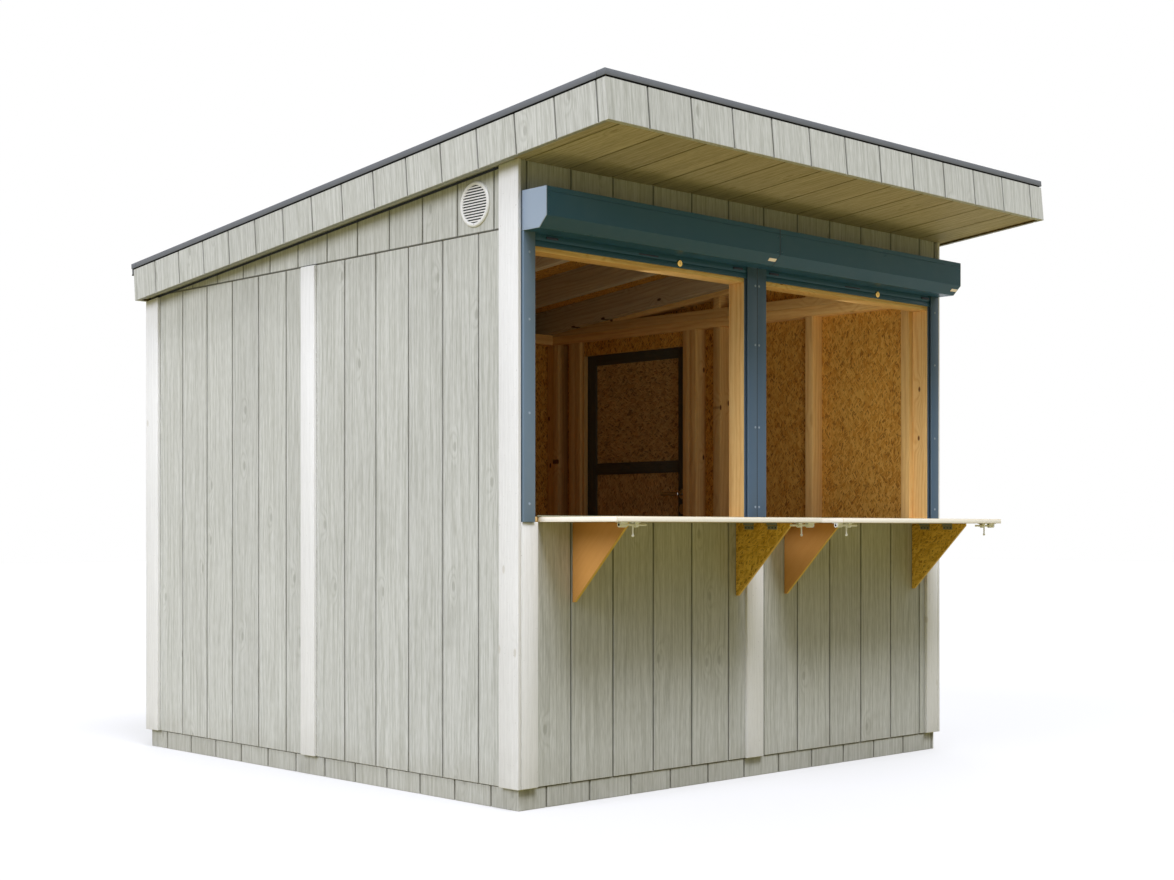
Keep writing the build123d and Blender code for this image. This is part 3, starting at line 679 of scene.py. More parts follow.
def turned(bm, start, direction, profile, count=24, mark=0):
    """A piece turned about an axis, from (distance, radius) pairs along it."""
    axis = Vector(direction).normalized()
    side = axis.orthogonal().normalized()
    other = axis.cross(side)
    angles = [math.tau * step / count for step in range(count)]
    rings = []
    for along, radius in profile:
        centre = Vector(start) + axis * along
        spokes = [(side * math.cos(a) + other * math.sin(a)) * radius for a in angles]
        rings.append([bm.verts.new(centre + spoke) for spoke in (spokes if radius > point_radius else [Vector()])])
    for near, far in zip(rings, rings[1:]):
        for step in range(count):
            ring_steps = ((near, step), (near, step + 1), (far, step + 1), (far, step))
            corners = dict.fromkeys(ring[place % len(ring)] for ring, place in ring_steps)
            bm.faces.new(list(corners)).material_index = mark


def swept(bm, outline, run, ease=0.0, steps=2, mark=0, axis="X"):
    """An outline carried along an axis: (Y, Z) points along X, or (X, Z) points along Y."""
    part = bmesh.new()
    near, far = [[part.verts.new((end, a, z) if axis == "X" else (a, end, z)) for a, z in outline] for end in run]
    part.faces.new(near)
    part.faces.new(far[::-1])
    for index in range(len(outline)):
        following = (index + 1) % len(outline)
        part.faces.new((near[index], far[index], far[following], near[following]))
    bmesh.ops.recalc_face_normals(part, faces=part.faces)
    if ease:
        ease_edges(part, ease, steps)
    join(bm, part, mark)


print("four ways of making shapes")

# %% [markdown]
# ## Grooved sheets
# The walls are not loose boards. They are sheets, pressed with a wood grain, with a groove every sixth of a sheet,
# 203 mm apart, so that they look like boards. A sheet is drawn as a strip whose outline dips at each groove, with
# strand board on its back. Every board between two grooves gets its own grain, and a third attribute, "groove",
# carries painted shade: it darkens the groove floors, the wide lip under an overlapping sheet and the edges in the
# gaps where sheets meet, as shadow would.

# %% Grooved sheet tool
groove_pitch, groove_width = 1.220 / 6, 0.009
wide_lip, lip_lean = 0.003, 0.6
X_AXIS, Y_AXIS, Z_AXIS = Vector((1, 0, 0)), Vector((0, 1, 0)), Vector((0, 0, 1))


def lattice(start, low, high):
    """Groove places between two ends, on a lattice that passes through start."""
    first = math.ceil((low - start) / groove_pitch)
    last = math.floor((high - start) / groove_pitch)
    return [start + groove_pitch * index for index in range(first, last + 1)]


def grooved(bm, plane, ends, bottom, top, thickness, grooves, depth=0.005, lip=0.0015, edge_painted_shade=0.0):
    """Adds a sheet on a plane: its origin, the way along it, the way up it and the way out of it."""
    origin, along, upward, outward = plane
    vectors, values = bm.loops.layers.float_vector, bm.loops.layers.float
    grain_layer = vectors.get("grain") or vectors.new("grain")
    tone_layer = values.get("tone") or values.new("tone")
    painted_shade_layer = values.get("groove") or values.new("groove")
    stations = [(ends[0], 0.0, 0)]
    for number, place in enumerate(grooves):
        if ends[0] + groove_width < place < ends[1] - groove_width:
            brink, foot = groove_width / 2, groove_width / 3
            stations += [(place - brink, 0.0, number), (place - foot, -depth, number)]
            stations += [(place + foot, -depth, number + 1), (place + brink, 0.0, number + 1)]
    stations.append((ends[1], 0.0, stations[-1][2]))
    columns = []
    for place, dip, board in stations:
        low, high = bottom(place), top(place)
        rows = ((low, min(dip, -lip * lip_lean)), (low + lip, dip), (high, dip), (high, -thickness),
                (low, -thickness))
        columns.append([bm.verts.new(origin + along * place + upward * h + outward * d) for h, d in rows])
    starts = {board: (random_start(), dice.random()) for board in sorted({station[2] for station in stations})}
    made = []
    for index, (near, far) in enumerate(zip(columns, columns[1:])):
        board = stations[index + 1][2]
        for row, kind in enumerate(("lip", "front", "edge", "back", "edge")):
            above = (row + 1) % 5
            made.append((bm.faces.new((near[row], far[row], far[above], near[above])), board, kind))
    for column, board in ((columns[0], stations[0][2]), (columns[-1], stations[-1][2])):
        made.append((bm.faces.new(column), board, "edge"))
    whole_start = random_start()
    for face, board, kind in made:
        face.material_index = int(kind == "back")
        start, tone = starts[board]
        for loop in face.loops:
            offset = loop.vert.co - origin
            measured = Vector((offset.dot(upward), offset.dot(along), offset.dot(outward)))
            # Painted shade: edge faces get the edge's share of dark, and wide lips and groove floors get all of it.
            dark = edge_painted_shade if kind == "edge" else 0.0
            if (kind == "lip" and lip > wide_lip) or (kind == "front" and measured.z < -depth / 2):
                dark = 1.0
            loop[grain_layer] = measured + (whole_start if kind == "back" else start)
            loop[tone_layer] = tone
            loop[painted_shade_layer] = dark


def level(height):
    """A straight top or bottom edge."""
    return lambda place: height


print("groove pitch", round(groove_pitch * 1000, 1), "mm")

# %% [markdown]
# ## The wall sheets
# Each wall is two sheets that meet under a batten. The grooves of the left and front walls are placed as in the
# photograph, and the walls that it doesn't show repeat them.

# %% Wall sheets
left_low, left_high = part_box("left_siding")
back_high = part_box("back_siding")[1]
over_low, over_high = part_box("siding_over_door")
door_low, door_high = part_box("door_cladding")
rail_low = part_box("guide_rails")[0]
sheet = left_high.x - left_low.x
half_gap = 0.0015
side_face, end_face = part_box("right_siding")[1].x, back_high.y
side_frame = side_face - sheet
wall_bottom, joint_height = left_low.z, left_high.z
front_start, side_start = 0.0630, -0.0321

left_plane = (Vector((-side_face, 0, 0)), Y_AXIS, Z_AXIS, -X_AXIS)
right_plane = (Vector((side_face, 0, 0)), Y_AXIS, Z_AXIS, X_AXIS)
front_plane = (Vector((0, -end_face, 0)), X_AXIS, Z_AXIS, -Y_AXIS)
back_plane = (Vector((0, end_face, 0)), X_AXIS, Z_AXIS, Y_AXIS)
side_grooves = lattice(side_start, -end_face, end_face)
front_grooves = lattice(front_start, -side_face, side_face)
sheet_finishes, sheet_smooth = [siding_paint, strand_board], 20


def wall_piece(name, node, plane, grooves, sheets, edge_painted_shade=0.0, body="hut"):
    """One piece made of sheets in a plane, each with its ends, its bottom and its top."""
    bm = bmesh.new()
    for ends, bottom, top in sheets:
        grooved(bm, plane, ends, level(bottom), level(top), sheet, grooves, edge_painted_shade=edge_painted_shade)
    add_piece(name, bm, body, sheet_finishes, [node], sheet_smooth)


left_runs = ((-end_face, -half_gap), (half_gap, end_face))
right_runs = ((-end_face, -half_gap), (half_gap, over_low.y), (over_high.y, end_face))
front_runs = ((-side_frame, -half_gap), (half_gap, side_frame))
front_heights = ((wall_bottom, rail_low.z), (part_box("opening_head")[1].z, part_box("front_siding")[1].z))
wall_piece("left_wall_sheets", "left_siding", left_plane, side_grooves,
           [(run, wall_bottom, joint_height) for run in left_runs], 1.0)
wall_piece("right_wall_sheets", "right_siding", right_plane, side_grooves,
           [(run, wall_bottom, joint_height) for run in right_runs], 1.0)
wall_piece("strip_over_door", "siding_over_door", right_plane, side_grooves,
           [((over_low.y, over_high.y), over_low.z, over_high.z)])
wall_piece("door_cladding_sheet", "door_cladding", right_plane, side_grooves,
           [((door_low.y, door_high.y), door_low.z, door_high.z)], body="door")
wall_piece("back_wall_sheets", "back_siding", back_plane, front_grooves,
           [(run, wall_bottom, back_high.z) for run in front_runs])
wall_piece("front_wall_sheets", "front_siding", front_plane, front_grooves,
           [(run, low, high) for run in front_runs for low, high in front_heights])
print("wall", round(2 * side_face, 3), "by", round(2 * end_face, 3), "m")

# %% [markdown]
# ## The gables and the vent hole
# Above the joint, a wedge of the same sheet follows the roof. The left one has a round hole for the vent, cut
# with a Boolean modifier that is applied at once, because a hole by hand would cross many groove strips.

# %% Gable sheets
slope = math.radians(5.34)
trim_face = 0.022
trim_low, trim_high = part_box("roof_trim")
roof_front, roof_top = trim_low.y + trim_face * math.sin(slope), trim_high.z
vent_low, vent_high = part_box("vent_grille")
vent_middle = (vent_low + vent_high) / 2
gable_low, gable_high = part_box("gable_siding")
gable_start = -1.134
gable_grooves = lattice(gable_start, -end_face, end_face)


def roof_line(depth):
    """The height of a plane at a depth below the roof's top, for a place from front to back."""
    return lambda place: roof_top - math.tan(slope) * (place - roof_front) - depth / math.cos(slope)


gable_drop = (roof_line(0)(-end_face) - gable_high.z) * math.cos(slope)
bm = bmesh.new()
for plane in (left_plane, right_plane):
    grooved(bm, plane, (-end_face, end_face), level(gable_low.z), roof_line(gable_drop), sheet, gable_grooves,
            lip=0.004, edge_painted_shade=1.0)
gables = add_piece("gable_sheets", bm, "hut", sheet_finishes, ["gable_siding"], sheet_smooth)

duct_radius, duct_length = 0.055, 0.1
duct_start = (-side_face - duct_length / 2, vent_middle.y, vent_middle.z)
bm = bmesh.new()
turned(bm, duct_start, X_AXIS, [(0, 0), (0, duct_radius), (duct_length, duct_radius), (duct_length, 0)], 48)
duct_mesh = bpy.data.meshes.new("duct_cutter")
bm.to_mesh(duct_mesh)
bm.free()
cutter = bpy.data.objects.new("duct_cutter", duct_mesh)
scene.collection.objects.link(cutter)
hole = gables.modifiers.new("duct", "BOOLEAN")
hole.object = cutter
hole.operation = "DIFFERENCE"
bpy.context.view_layer.update()
cut_mesh = bpy.data.meshes.new_from_object(gables.evaluated_get(bpy.context.evaluated_depsgraph_get()))
gables.modifiers.clear()
gables.data = cut_mesh
bpy.data.objects.remove(cutter)
print("gables", len(cut_mesh.polygons), "faces")

# %% [markdown]
# ## Plinth and fascias
# The same grooved sheet is cut into strips for the plinth and for the deep fascia round the roof. The fascia
# leans with the roof, so its plane is tilted by the slope.

# %% Strips of sheet
plinth_low, plinth_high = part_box("plinth_boards")
plinth_depth, corner_gap = 0.012, 0.001
plinth_side_start, plinth_end_start = -1.1117, -1.0631
plinth_z = (level(plinth_low.z), level(plinth_high.z))
side_run = plinth_high.y - plinth_depth - corner_gap
plinth_sides, plinth_ends = (-side_run, side_run), (-plinth_high.x, plinth_high.x)
bm = bmesh.new()
for side in (-1, 1):
    plane = (Vector((side * plinth_high.x, 0, 0)), Y_AXIS, Z_AXIS, X_AXIS * side)
    grooved(bm, plane, plinth_sides, *plinth_z, plinth_depth, lattice(plinth_side_start, *plinth_sides))
    plane = (Vector((0, side * plinth_high.y, 0)), X_AXIS, Z_AXIS, Y_AXIS * side)
    grooved(bm, plane, plinth_ends, *plinth_z, plinth_depth, lattice(plinth_end_start, *plinth_ends))
add_piece("plinth_strips", bm, "hut", [siding_paint, siding_paint], ["plinth_boards"], sheet_smooth)

run_axis = Vector((0, math.cos(slope), -math.sin(slope)))
roof_axis = Vector((0, math.sin(slope), math.cos(slope)))
roof_corner = Vector((0, roof_front, roof_top))
trim_skin, fascia_thickness, fascia_bottom, fascia_top = 0.002, 0.018, 0.167, 0.028
roof_length, back_inset = 3.085, 0.016
roof_run = roof_length / math.cos(slope)
back_face = roof_run - back_inset
fascia_z = (level(-fascia_bottom), level(-fascia_top))
fascia_side = trim_high.x - trim_skin
fascia_ends = (-fascia_side, fascia_side)
fascia_runs = (trim_skin + fascia_thickness + corner_gap, back_face - fascia_thickness - corner_gap)
fascia_start, fascia_end_start = 0.048, -1.0695
bm = bmesh.new()
for side in (-1, 1):
    plane = (roof_corner + X_AXIS * side * fascia_side, run_axis, roof_axis, X_AXIS * side)
    grooved(bm, plane, fascia_runs, *fascia_z, fascia_thickness, lattice(fascia_start, *fascia_runs), edge_painted_shade=0.6)
for place, outward in ((trim_skin, -run_axis), (back_face, run_axis)):
    plane = (roof_corner + run_axis * place, X_AXIS, roof_axis, outward)
    grooved(bm, plane, fascia_ends, *fascia_z, fascia_thickness, lattice(fascia_end_start, *fascia_ends))
add_piece("fascia_strips", bm, "hut", [siding_paint, fascia_back_painted_shade], ["fascias"], sheet_smooth)
print("roof run", round(roof_run, 3), "m; grooves along the side", len(lattice(fascia_start, 0, roof_run)))

# %% [markdown]
# ## Soffits
# Grooved boards close the underside of the roof in front of the wall. Narrow plain strips do so along the sides,
# where a thin dark strip above the wall sheets paints the shadow line in the last millimetres.

# %% Soffits
inner_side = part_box("front_soffit")[1].x
soffit_depth, soffit_thickness, wall_gap = 0.159, 0.010, 0.002
soffit_top, soffit_start = soffit_depth - soffit_thickness, -1.171
front_end = (-end_face - wall_gap - roof_front + soffit_top * math.sin(slope)) / math.cos(slope)
soffit_ends = (-inner_side, inner_side)
bm = bmesh.new()
plane = (roof_corner - roof_axis * soffit_depth, X_AXIS, run_axis, -roof_axis)
grooved(bm, plane, soffit_ends, level(trim_skin + fascia_thickness), level(front_end), soffit_thickness,
        lattice(soffit_start, *soffit_ends), depth=0.006)
add_piece("soffit_boards", bm, "hut", [soffit_paint_with_painted_bounce, strand_board], ["front_soffit"], sheet_smooth)


def roof_outline(start, end, top, under):
    """A board in the roof's slope, as (Y, Z) corners, from its run and its depths below the top."""
    corners = [roof_corner + run_axis * run - roof_axis * depth
               for run, depth in ((start, under), (start, top), (end, top), (end, under))]
    return [(corner.y, corner.z) for corner in corners]


def span(side, near, far):
    """A stretch along X, on the left or right side."""
    return sorted((side * near, side * far))


wall_slot, shadow_strip_height, shadow_strip_overlap, shadow_strip_depth = 0.012, 0.007, 0.002, 0.0015
edge_run = (front_end + corner_gap, back_face - fascia_thickness)
edge_outline = roof_outline(*edge_run, soffit_top, soffit_depth)
shadow_strip_outline = roof_outline(*edge_run, soffit_depth - shadow_strip_overlap, soffit_depth + shadow_strip_height)
bm = bmesh.new()
for side in (-1, 1):
    swept(bm, edge_outline, span(side, side_face + wall_slot, inner_side), 0.001, 1)
    # A thin dark strip on the wall under the soffit: painted shadow.
    swept(bm, shadow_strip_outline, span(side, side_face, side_face + shadow_strip_depth), 0.0004, 1, 1)
add_piece("edge_soffits_dressed", bm, "hut", [siding_paint, dark_rubber], ["edge_soffits"])
print("front soffit", round(front_end - trim_skin - fascia_thickness, 3), "m deep")

# %% [markdown]
# ## White boards and the timber frame
# Corner boards and battens are planed and painted, and the frame inside is planed pine. Their solids already
# have the right shape, so they only need eased edges and their grain.

# %% Boards and timber
door_head = 1.86
timber = ("floor_joists", "wall_plates", "wedge_plates", "sloping_plates", "left_studs", "right_studs", "back_studs",
          "front_studs", "wedge_studs", "opening_posts", "opening_head", "opening_sills", "rafters")


def on_edge(face):
    """One for a face that stands upright."""
    return int(abs(face.normal.z) < 0.7)


for node in ("corner_boards", "centre_battens"):
    eased(node, [white_paint], 0.0025, 3)
for node in timber:
    pine = shaded_rafter_pine if node == "rafters" else frame_pine
    eased(node, [planed_pine if node.startswith("opening") else pine])
eased("door_stops", [frame_pine, strand_board],
      choose=lambda face: int(face.calc_center_median().z > door_head))
eased("floor_deck", [strand_board], 0.001, 1)
# The deck's upright edges are dark as painted shade in the gap under the roof trim.
eased("roof_deck", [strand_board, dark_rubber], 0.001, 1, on_edge)
print(len(timber) + 1, "timber nodes eased")

# %% [markdown]
# ## Roof covering and its folded edge
# Felt comes in rolls about a metre wide. Three strips lie across the slope, each lapping over the one below it,
# and the folded metal edge holds them down.

# %% Roof
eased("roof_trim", [trim_coat], 0.0006, 2)
strip_count, lap, lap_lift = 3, 0.09, 0.0008
felt_start, felt_short, felt_top, felt_under = 0.020, 0.052, 0.0026, 0.006
strip_run = (roof_run - felt_short) / strip_count
bm = bmesh.new()
for number in range(strip_count):
    start = felt_start + number * strip_run
    end = start + strip_run + (lap if number < strip_count - 1 else 0)
    top = felt_top - (lap_lift if number % 2 else 0.0)
    outline = roof_outline(start, min(end, back_face - fascia_thickness), top, felt_under)
    swept(bm, outline, soffit_ends, 0.0005, 1)
add_piece("roof_felt_strips", bm, "hut", [roof_felt], ["roof_cover"])
print(strip_count, "strips of felt, each", round(strip_run, 3), "m")

# %% [markdown]
# ## Roller shutters
# Each opening has a rolled-up shutter in a slanted metal box, with end plates, a lid joint along the top of the
# face, small screws and a bare plate on the slant. The two boxes meet at a dark joint.

# %% Shutter boxes
box_low, box_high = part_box("shutter_boxes")
face_y, back_y, box_bottom, box_top = box_low.y, box_high.y, box_low.z, box_high.z
chamfer, cap, box_gap, joint_half = 0.038, 0.004, 0.0005, 0.0014
drip_edge = [(face_y + chamfer + 0.016, box_bottom), (face_y + chamfer + 0.0145, box_bottom + 0.002),
             (face_y + chamfer + 0.013, box_bottom)]
slant_line = [(face_y + chamfer, box_bottom), (face_y, box_bottom + chamfer)]
lid_joint = [(face_y, box_top - 0.0185), (face_y + 0.0015, box_top - 0.0175), (face_y + 0.0015, box_top - 0.0160),
             (face_y, box_top - 0.0150)]
top_line = [(face_y, box_top), (back_y, box_top)]
box_outline = [(back_y, box_bottom)] + drip_edge + slant_line + lid_joint + top_line
cap_outline = [(back_y, box_bottom)] + slant_line + top_line
box_screw = [(0, 0.0032), (0.0004, 0.0026), (0.0004, 0)]
inner, outer, screw_inset, screw_drop = box_gap, box_high.x, 0.012, 0.028

bm = bmesh.new()
for side in (-1, 1):
    swept(bm, box_outline, span(side, inner + cap, outer - cap), 0.0005, 1)
    swept(bm, cap_outline, span(side, inner, inner + cap), 0.0006, 1)
    # The outer end plate gets the pale coat, as painted light.
    swept(bm, cap_outline, span(side, outer - cap, outer), 0.0013, 3, 3)
    for place in (inner + screw_inset, outer - screw_inset):
        for height in (box_bottom + chamfer + screw_inset, box_top - screw_drop):
            turned(bm, (side * place, face_y + 0.0004, height), -Y_AXIS, box_screw, 12, 1)

slant = Vector((0, -1, -1)).normalized()
along_slant = Vector((0, -1, 1)).normalized()
slant_middle = Vector((0, face_y + chamfer * 0.5, box_bottom + chamfer * 0.5))
plate_half, plate_depth, plate_reach = 0.007, 0.0012, 0.021
plate_corners = ((-plate_half, 0), (plate_half, 0), (plate_half, plate_depth), (-plate_half, plate_depth))
plate = [slant_middle + along_slant * a + slant * b for a, b in plate_corners]
for place in (-0.024, 1.164):
    swept(bm, [(point.y, point.z) for point in plate], (place - plate_reach, place + plate_reach), 0.0005, 1, 2)
joint_outline = [(y + (0.0004 if y > back_y - 0.01 else -0.0004), z) for y, z in cap_outline]
swept(bm, joint_outline, (-joint_half, joint_half), mark=4)
add_piece("shutter_cases", bm, "hut", [shaded_shutter_coat, lit_cap_and_screw_coat, pale_brass, lit_cap_and_screw_coat, dark_rubber], ["shutter_boxes"],
          smooth=15)
print("shutter box", round(box_top - box_bottom, 3), "m high")

# %% [markdown]
# The guide rails carry a brush strip in their slots, and are screwed to the posts. They share one paint in two
# copies: the leftmost rail, in full light, gets the paler copy as painted light, and the others get the darker copy
# as painted shade.

# %% Guide rails
eased("guide_rails", [lit_rail_coat, shaded_rail_coat], 0.0008, 2,
      lambda face: int(face.calc_center_median().x > -1.0))
opening_inner, opening_outer = 0.053, 1.137
brush_near, brush_far, brush_top = 0.012, 0.018, 1.930
brush_front, brush_back = rail_low.y + 0.006, rail_low.y + 0.016
bm = bmesh.new()
for side in (-1, 1):
    for edge, direction in ((opening_inner, -1), (opening_outer, 1)):
        near, far = span(side, edge + direction * brush_near, edge + direction * brush_far)
        plank(bm, (near, brush_front, rail_low.z), (far, brush_back, brush_top), 0.0008, 1)
plank(bm, (-joint_half, rail_low.y - 0.0003, rail_low.z), (joint_half, brush_front, box_bottom), 0.0002, 1)
add_piece("rail_brushes", bm, "hut", [dark_rubber], ())

rail_screw = [(0, 0.0048), (0.0008, 0.0044), (0.0012, 0.0034), (0.0012, 0.0016), (0.0004, 0.0012), (0.0004, 0)]
screw_places, screw_heights = (-1.163, -0.011, 0.011, 1.163), (1.05, 1.36, 1.68, 1.91)
bm = bmesh.new()
for place in screw_places:
    for height in screw_heights:
        turned(bm, (place, rail_low.y + 0.0003, height), -Y_AXIS, rail_screw, 16)
add_piece("rail_screws", bm, "hut", [lit_cap_and_screw_coat], ())
print(len(screw_places) * len(screw_heights), "rail screws")

# %% [markdown]
# The end slat hangs just below the box, with its brass lock, a slot and two catches.

# %% End slats
slat_low, slat_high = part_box("shutter_end_slats")
slat_inner, slat_outer = 0.033, 1.157
bead = ((0, 0), (0, 0.018), (0.0012, 0.0195), (0.0012, 0.021), (0.0004, 0.023), (0.0001, 0.032))
slat_outline = [(slat_high.y, slat_low.z)] + [(slat_low.y + y, slat_low.z + z) for y, z in bead]
slat_outline += [(slat_low.y + 0.0008, slat_high.z), (slat_high.y, slat_high.z)]
lock_profile = [(0, 0.0125), (0.003, 0.0125), (0.0042, 0.0112), (0.0042, 0.0055), (0.0034, 0.005), (0.0034, 0)]


def slat_fitting(bm, x, half, heights, depths, ease, steps=1):
    """A dark fitting on a slat, with its heights above the slat's foot and its depths behind the slat's face."""
    plank(bm, (x - half, slat_low.y + depths[0], slat_low.z + heights[0]),
          (x + half, slat_low.y + depths[1], slat_low.z + heights[1]), ease, steps, 2)


bm = bmesh.new()
for side, lock, slot, far_catch in ((-1, -0.425, -0.586, -1.055), (1, 0.765, 0.600, 1.100)):
    swept(bm, slat_outline, span(side, slat_inner, slat_outer), 0.0005, 1)
    turned(bm, (lock, slat_low.y + 0.0004, slat_low.z + 0.0165), -Y_AXIS, lock_profile, 28, 1)
    # The keyhole and the slot are dark as painted shade in their openings.
    slat_fitting(bm, lock, 0.0012, (0.013, 0.020), (-0.0034, 0.0), 0.0003)
    slat_fitting(bm, slot, 0.050, (0.026, 0.031), (-0.0008, 0.001), 0.0004)
    for catch in (side * 0.105, far_catch):
        slat_fitting(bm, catch, 0.026, (0.028, 0.036), (-0.004, 0.001), 0.001, 2)
add_piece("shutter_bottom_slats", bm, "hut", [shaded_shutter_coat, lock_brass, dark_rubber], ["shutter_end_slats"])
print("end slats", round(slat_outer - slat_inner, 3), "m long")

# %% [markdown]
# ## Counters and their brackets
# The counters are pale plywood, so their flat faces and their edges need different finishes, chosen by the way
# that each face looks. The brackets are sheet too: coated outside, bare strand board inside, where two small
# hinges hold them to the counter.

# %% Counters and brackets
for side in ("left", "right"):
    eased("counter_" + side, [counter_ply, ply_edge], 0.0012, 2, on_edge)
    eased("counter_ironwork_" + side, [zinc_plate], 0.0004, 1)
eased("counter_hinge_barrels", [zinc_plate], 0.0004, 1)

leaf_half, leaf_thickness, leaf_shares = 0.024, 0.0015, (0.25, 0.68)
leaf_bottom, leaf_top, leaf_middle = 0.025, 0.010, 0.0185
leaf_screw = [(0, 0.0032), (0.0006, 0.0028), (0.0006, 0.0010), (0.0002, 0)]
for number in (1, 2, 3, 4):
    node = "bracket_%d" % number
    inward = 1 if number in (1, 3) else -1
    eased(node, [bracket_coat, bracket_strands, bracket_edge], 0.0008, 2,
          lambda face: 2 if abs(face.normal.x) < 0.5 else int(face.normal.x * inward > 0))
    low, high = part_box(node)
    inner_face = high.x if inward > 0 else low.x
    near, far = sorted((inner_face, inner_face + inward * leaf_thickness))
    bm = bmesh.new()
    for share in leaf_shares:
        middle = high.y - share * (high.y - low.y)
        plank(bm, (near, middle - leaf_half, high.z - leaf_bottom), (far, middle + leaf_half, high.z - leaf_top),
              0.0004, 1)
        for offset in (-0.016, 0.0, 0.016):
            spot = (inner_face + inward * 0.0013, middle + offset, high.z - leaf_middle)
            turned(bm, spot, X_AXIS * inward, leaf_screw, 10, 1)
    add_piece("bracket_leaves_%d" % number, bm, node, [zinc_plate, dark_rubber], ())
print("counters and brackets ready")

# %% [markdown]
# ## Barrel bolts
# Under each front corner of a counter sits a small barrel bolt: a plate with two round straps, a rod that slides
# through them, and a pin with a ball for the fingers. The rod and pin move, so they are their own pieces.

# %% Bolts
rod_length, rod_radius, tip_ease, tip_recess = 0.121, 0.004, 0.0008, 0.006
pin_length, pin_setback, knob_radius = 0.036, 0.065, 0.005
plate_length, plate_half, plate_thickness, barrel_drop = 0.088, 0.017, 0.002, 0.010
screw_runs, screw_side, screw_lift = (0.042, 0.060), 0.0125, 0.0082
strap_runs, strap_bore, strap_radius = ((0.0, 0.034), (0.070, 0.088)), 0.0046, 0.0085
tip = rod_radius - tip_ease
rod_profile = [(tip_ease, rod_radius), (rod_length - tip_ease, rod_radius), (rod_length, tip), (rod_length, 0)]
ball = [(pin_length - knob_radius * math.cos(math.pi * step / 8), knob_radius * math.sin(math.pi * step / 8))
        for step in range(9)]
bolt_screw = [(0, 0.0030), (0.0008, 0.0026), (0.0010, 0.0010), (0.0004, 0)]


def bolt_place(number):
    """The middle of a barrel's outer end, and the way that its rod slides."""
    outward = -1 if number in (1, 3) else 1
    low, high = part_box("counter_bolt_%d" % number)
    end = low.x if outward < 0 else high.x
    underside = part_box("counter_left")[0].z
    return Vector((end + outward * tip_recess, (low.y + high.y) / 2, underside - barrel_drop)), outward


for number in (1, 2, 3, 4):
    mouth, outward = bolt_place(number)
    inward = X_AXIS * -outward
    bm = bmesh.new()
    # The rod's end face is dark as painted shade in the barrel's mouth.
    turned(bm, mouth + inward * tip_recess, inward, [(0, 0), (0, tip), (tip_ease, rod_radius)], 20, 1)
    turned(bm, mouth + inward * tip_recess, inward, rod_profile, 20)
    bmesh.ops.remove_doubles(bm, verts=bm.verts, dist=weld)
    pin = mouth + inward * pin_setback
    turned(bm, pin, -Z_AXIS, [(0, 0), (0, 0.003), (pin_length - knob_radius * 0.85, 0.0026)], 16)
    turned(bm, pin, -Z_AXIS, ball, 16)
    add_piece("bolt_rod_%d" % number, bm, "bolt_%d" % number, [bolt_coat, dark_rubber],
              ["counter_bolt_%d" % number])

for side, numbers in (("left", (1, 2)), ("right", (3, 4))):
    bm = bmesh.new()
    for number in numbers:
        mouth, outward = bolt_place(number)
        inward = X_AXIS * -outward
        plate_top = mouth.z + barrel_drop
        near, far = sorted((mouth.x, mouth.x - outward * plate_length))
        plank(bm, (near, mouth.y - plate_half, plate_top - plate_thickness),
              (far, mouth.y + plate_half, plate_top), 0.0008)
        for start, end in strap_runs:
            length, round_edge = end - start, strap_radius - 0.0007
            strap = [(0, strap_bore), (0, round_edge), (0.001, strap_radius), (length - 0.001, strap_radius),
                     (length, round_edge), (length, strap_bore)]
            turned(bm, mouth + inward * start, inward, strap, 24)
            # The straps' bores are dark as painted shade inside them.
            turned(bm, mouth + inward * start, inward, [(length, strap_bore), (0, strap_bore)], 24, 2)
            near, far = sorted((mouth.x - outward * start, mouth.x - outward * end))
            plank(bm, (near, mouth.y - strap_radius, mouth.z + strap_bore),
                  (far, mouth.y + strap_radius, plate_top - 0.001), 0.0006, 1)
        for along in screw_runs:
            for across in (-screw_side, screw_side):
                spot = mouth + inward * along + Y_AXIS * across + Z_AXIS * screw_lift
                turned(bm, spot, -Z_AXIS, bolt_screw, 10, 1)
    bmesh.ops.remove_doubles(bm, verts=bm.verts, dist=0.000001)
    add_piece("bolt_plates_" + side, bm, "counter_" + side, [bolt_coat, zinc_plate, dark_rubber],
              ["bolt_guides_" + side])
print("four bolts ready")

# %% [markdown]
# ## The side door
# The door is a black frame with strand-board panels inside, clad with the wall's own sheet outside. Its lever
# handle turns on a round rose on each face, with a lock rose below it, and two lift-off hinges carry it.

# %% Door
for node in ("door_stiles", "door_rails"):
    eased(node, [black_paint], 0.0015, 2)
eased("door_panels", [shaded_door_strands], 0.0008, 1)
for node in ("hinge_halves_wall", "hinge_halves_door"):
    eased(node, [zinc_plate], 0.0005, 1)

low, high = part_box("door_handle")
lever_thickness, lever_ease, spindle_radius, spindle_inset = 0.012, 0.0055, 0.006, 0.009
handle_y, handle_z = low.y + spindle_inset, (low.z + high.z) / 2
spindle = high.x - low.x - lever_thickness
bm = bmesh.new()
turned(bm, (low.x + lever_thickness / 2, handle_y, handle_z), X_AXIS,
       [(0, 0), (0, spindle_radius), (spindle, spindle_radius), (spindle, 0)], 20)
for start in (low.x, high.x - lever_thickness):
    plank(bm, (start, low.y, low.z), (start + lever_thickness, high.y, high.z), lever_ease, 4)
add_piece("lever_handle", bm, "door_handle", [bright_steel], ["door_handle"])

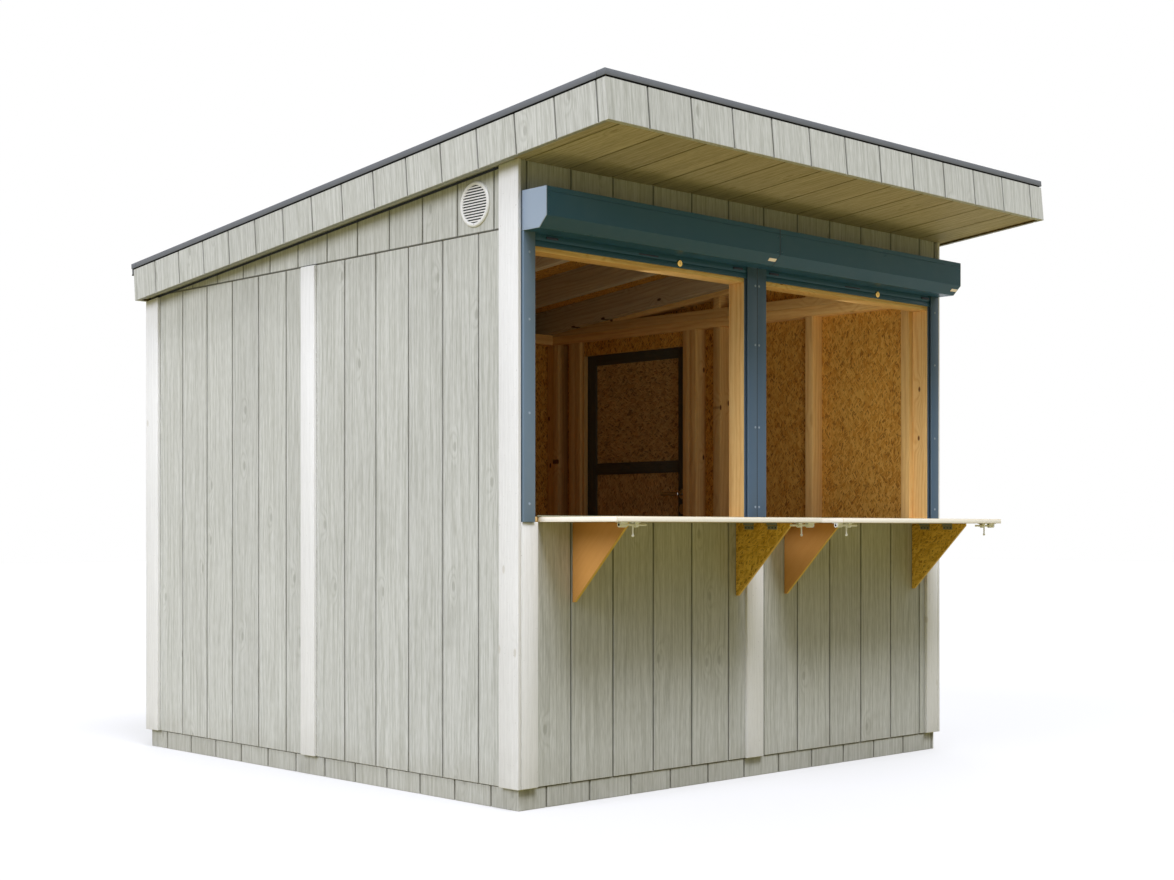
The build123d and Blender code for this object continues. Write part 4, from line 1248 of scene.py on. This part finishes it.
handle_rose = [(0, 0.026), (0.005, 0.026), (0.0075, 0.0235), (0.0075, 0.0068)]
lock_rose = [(0, 0.026), (0.004, 0.026), (0.006, 0.0235), (0.006, 0.009), (0.008, 0.0085), (0.008, 0)]
lock_drop = 0.075
bm = bmesh.new()
for face_x, direction in ((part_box("door_stiles")[0].x, -1), (side_face, 1)):
    turned(bm, (face_x, handle_y, handle_z), X_AXIS * direction, handle_rose, 36)
    turned(bm, (face_x, handle_y, handle_z - lock_drop), X_AXIS * direction, lock_rose, 36)
add_piece("handle_roses", bm, "door", [bright_steel], ())
print("door", round(door_high.z - door_low.z, 3), "m high")

# %% [markdown]
# ## The round vent
# The vent is moulded white plastic: a rounded rim with a small notch at its foot, and rows of sloping blades. A dark
# disc behind the blades paints the shade in the slots, and the thin rib behind them and the notch are dark as
# painted shade too. The blades shorten towards the top and bottom to stay inside the rim.

# %% Vent
radius, depth = (vent_high.y - vent_low.y) / 2, vent_high.x - vent_low.x
face_x = -side_face
centre = Vector((face_x, vent_middle.y, vent_middle.z))
rim_profile = [(0, radius), (0.004, radius), (0.0065, radius - 0.002), (depth, radius - 0.006),
               (0.0076, radius - 0.011), (0.006, radius - 0.0135), (0, radius - 0.0135)]
bm = bmesh.new()
turned(bm, centre, -X_AXIS, rim_profile, 72)
# The dark disc, rib and notch are painted shade.
turned(bm, centre, -X_AXIS, [(0.0006, radius - 0.012), (0.0006, 0)], 72, 1)
blade_count, inner_radius = 13, radius - 0.0128
blade_pitch = 2 * inner_radius / (blade_count + 0.6)
blade = ((-0.0012, 0.0034), (-0.0068, 0.0014), (-0.0068, -0.0034), (-0.0012, -0.0014))
for number in range(blade_count):
    height = (number - (blade_count - 1) / 2) * blade_pitch
    reach = math.sqrt(inner_radius ** 2 - height ** 2)
    outline = [(face_x + x, centre.z + height + z) for x, z in blade]
    swept(bm, outline, (centre.y - reach, centre.y + reach), axis="Y")
rib_half, notch_half, notch_z = 0.0010, 0.0012, centre.z - radius + 0.0085
plank(bm, (face_x - 0.0024, centre.y - rib_half, centre.z - inner_radius),
      (face_x - 0.0008, centre.y + rib_half, centre.z + inner_radius), 0.0004, 1, 1)
plank(bm, (face_x - 0.0079, centre.y - notch_half, notch_z - 0.003),
      (face_x - 0.0060, centre.y + notch_half, notch_z + 0.003), 0.0003, 1, 1)
add_piece("round_vent", bm, "hut", [vent_plastic, dark_rubber], ["vent_grille"])
print("vent", round(2 * radius, 3), "m across with", blade_count, "blades")
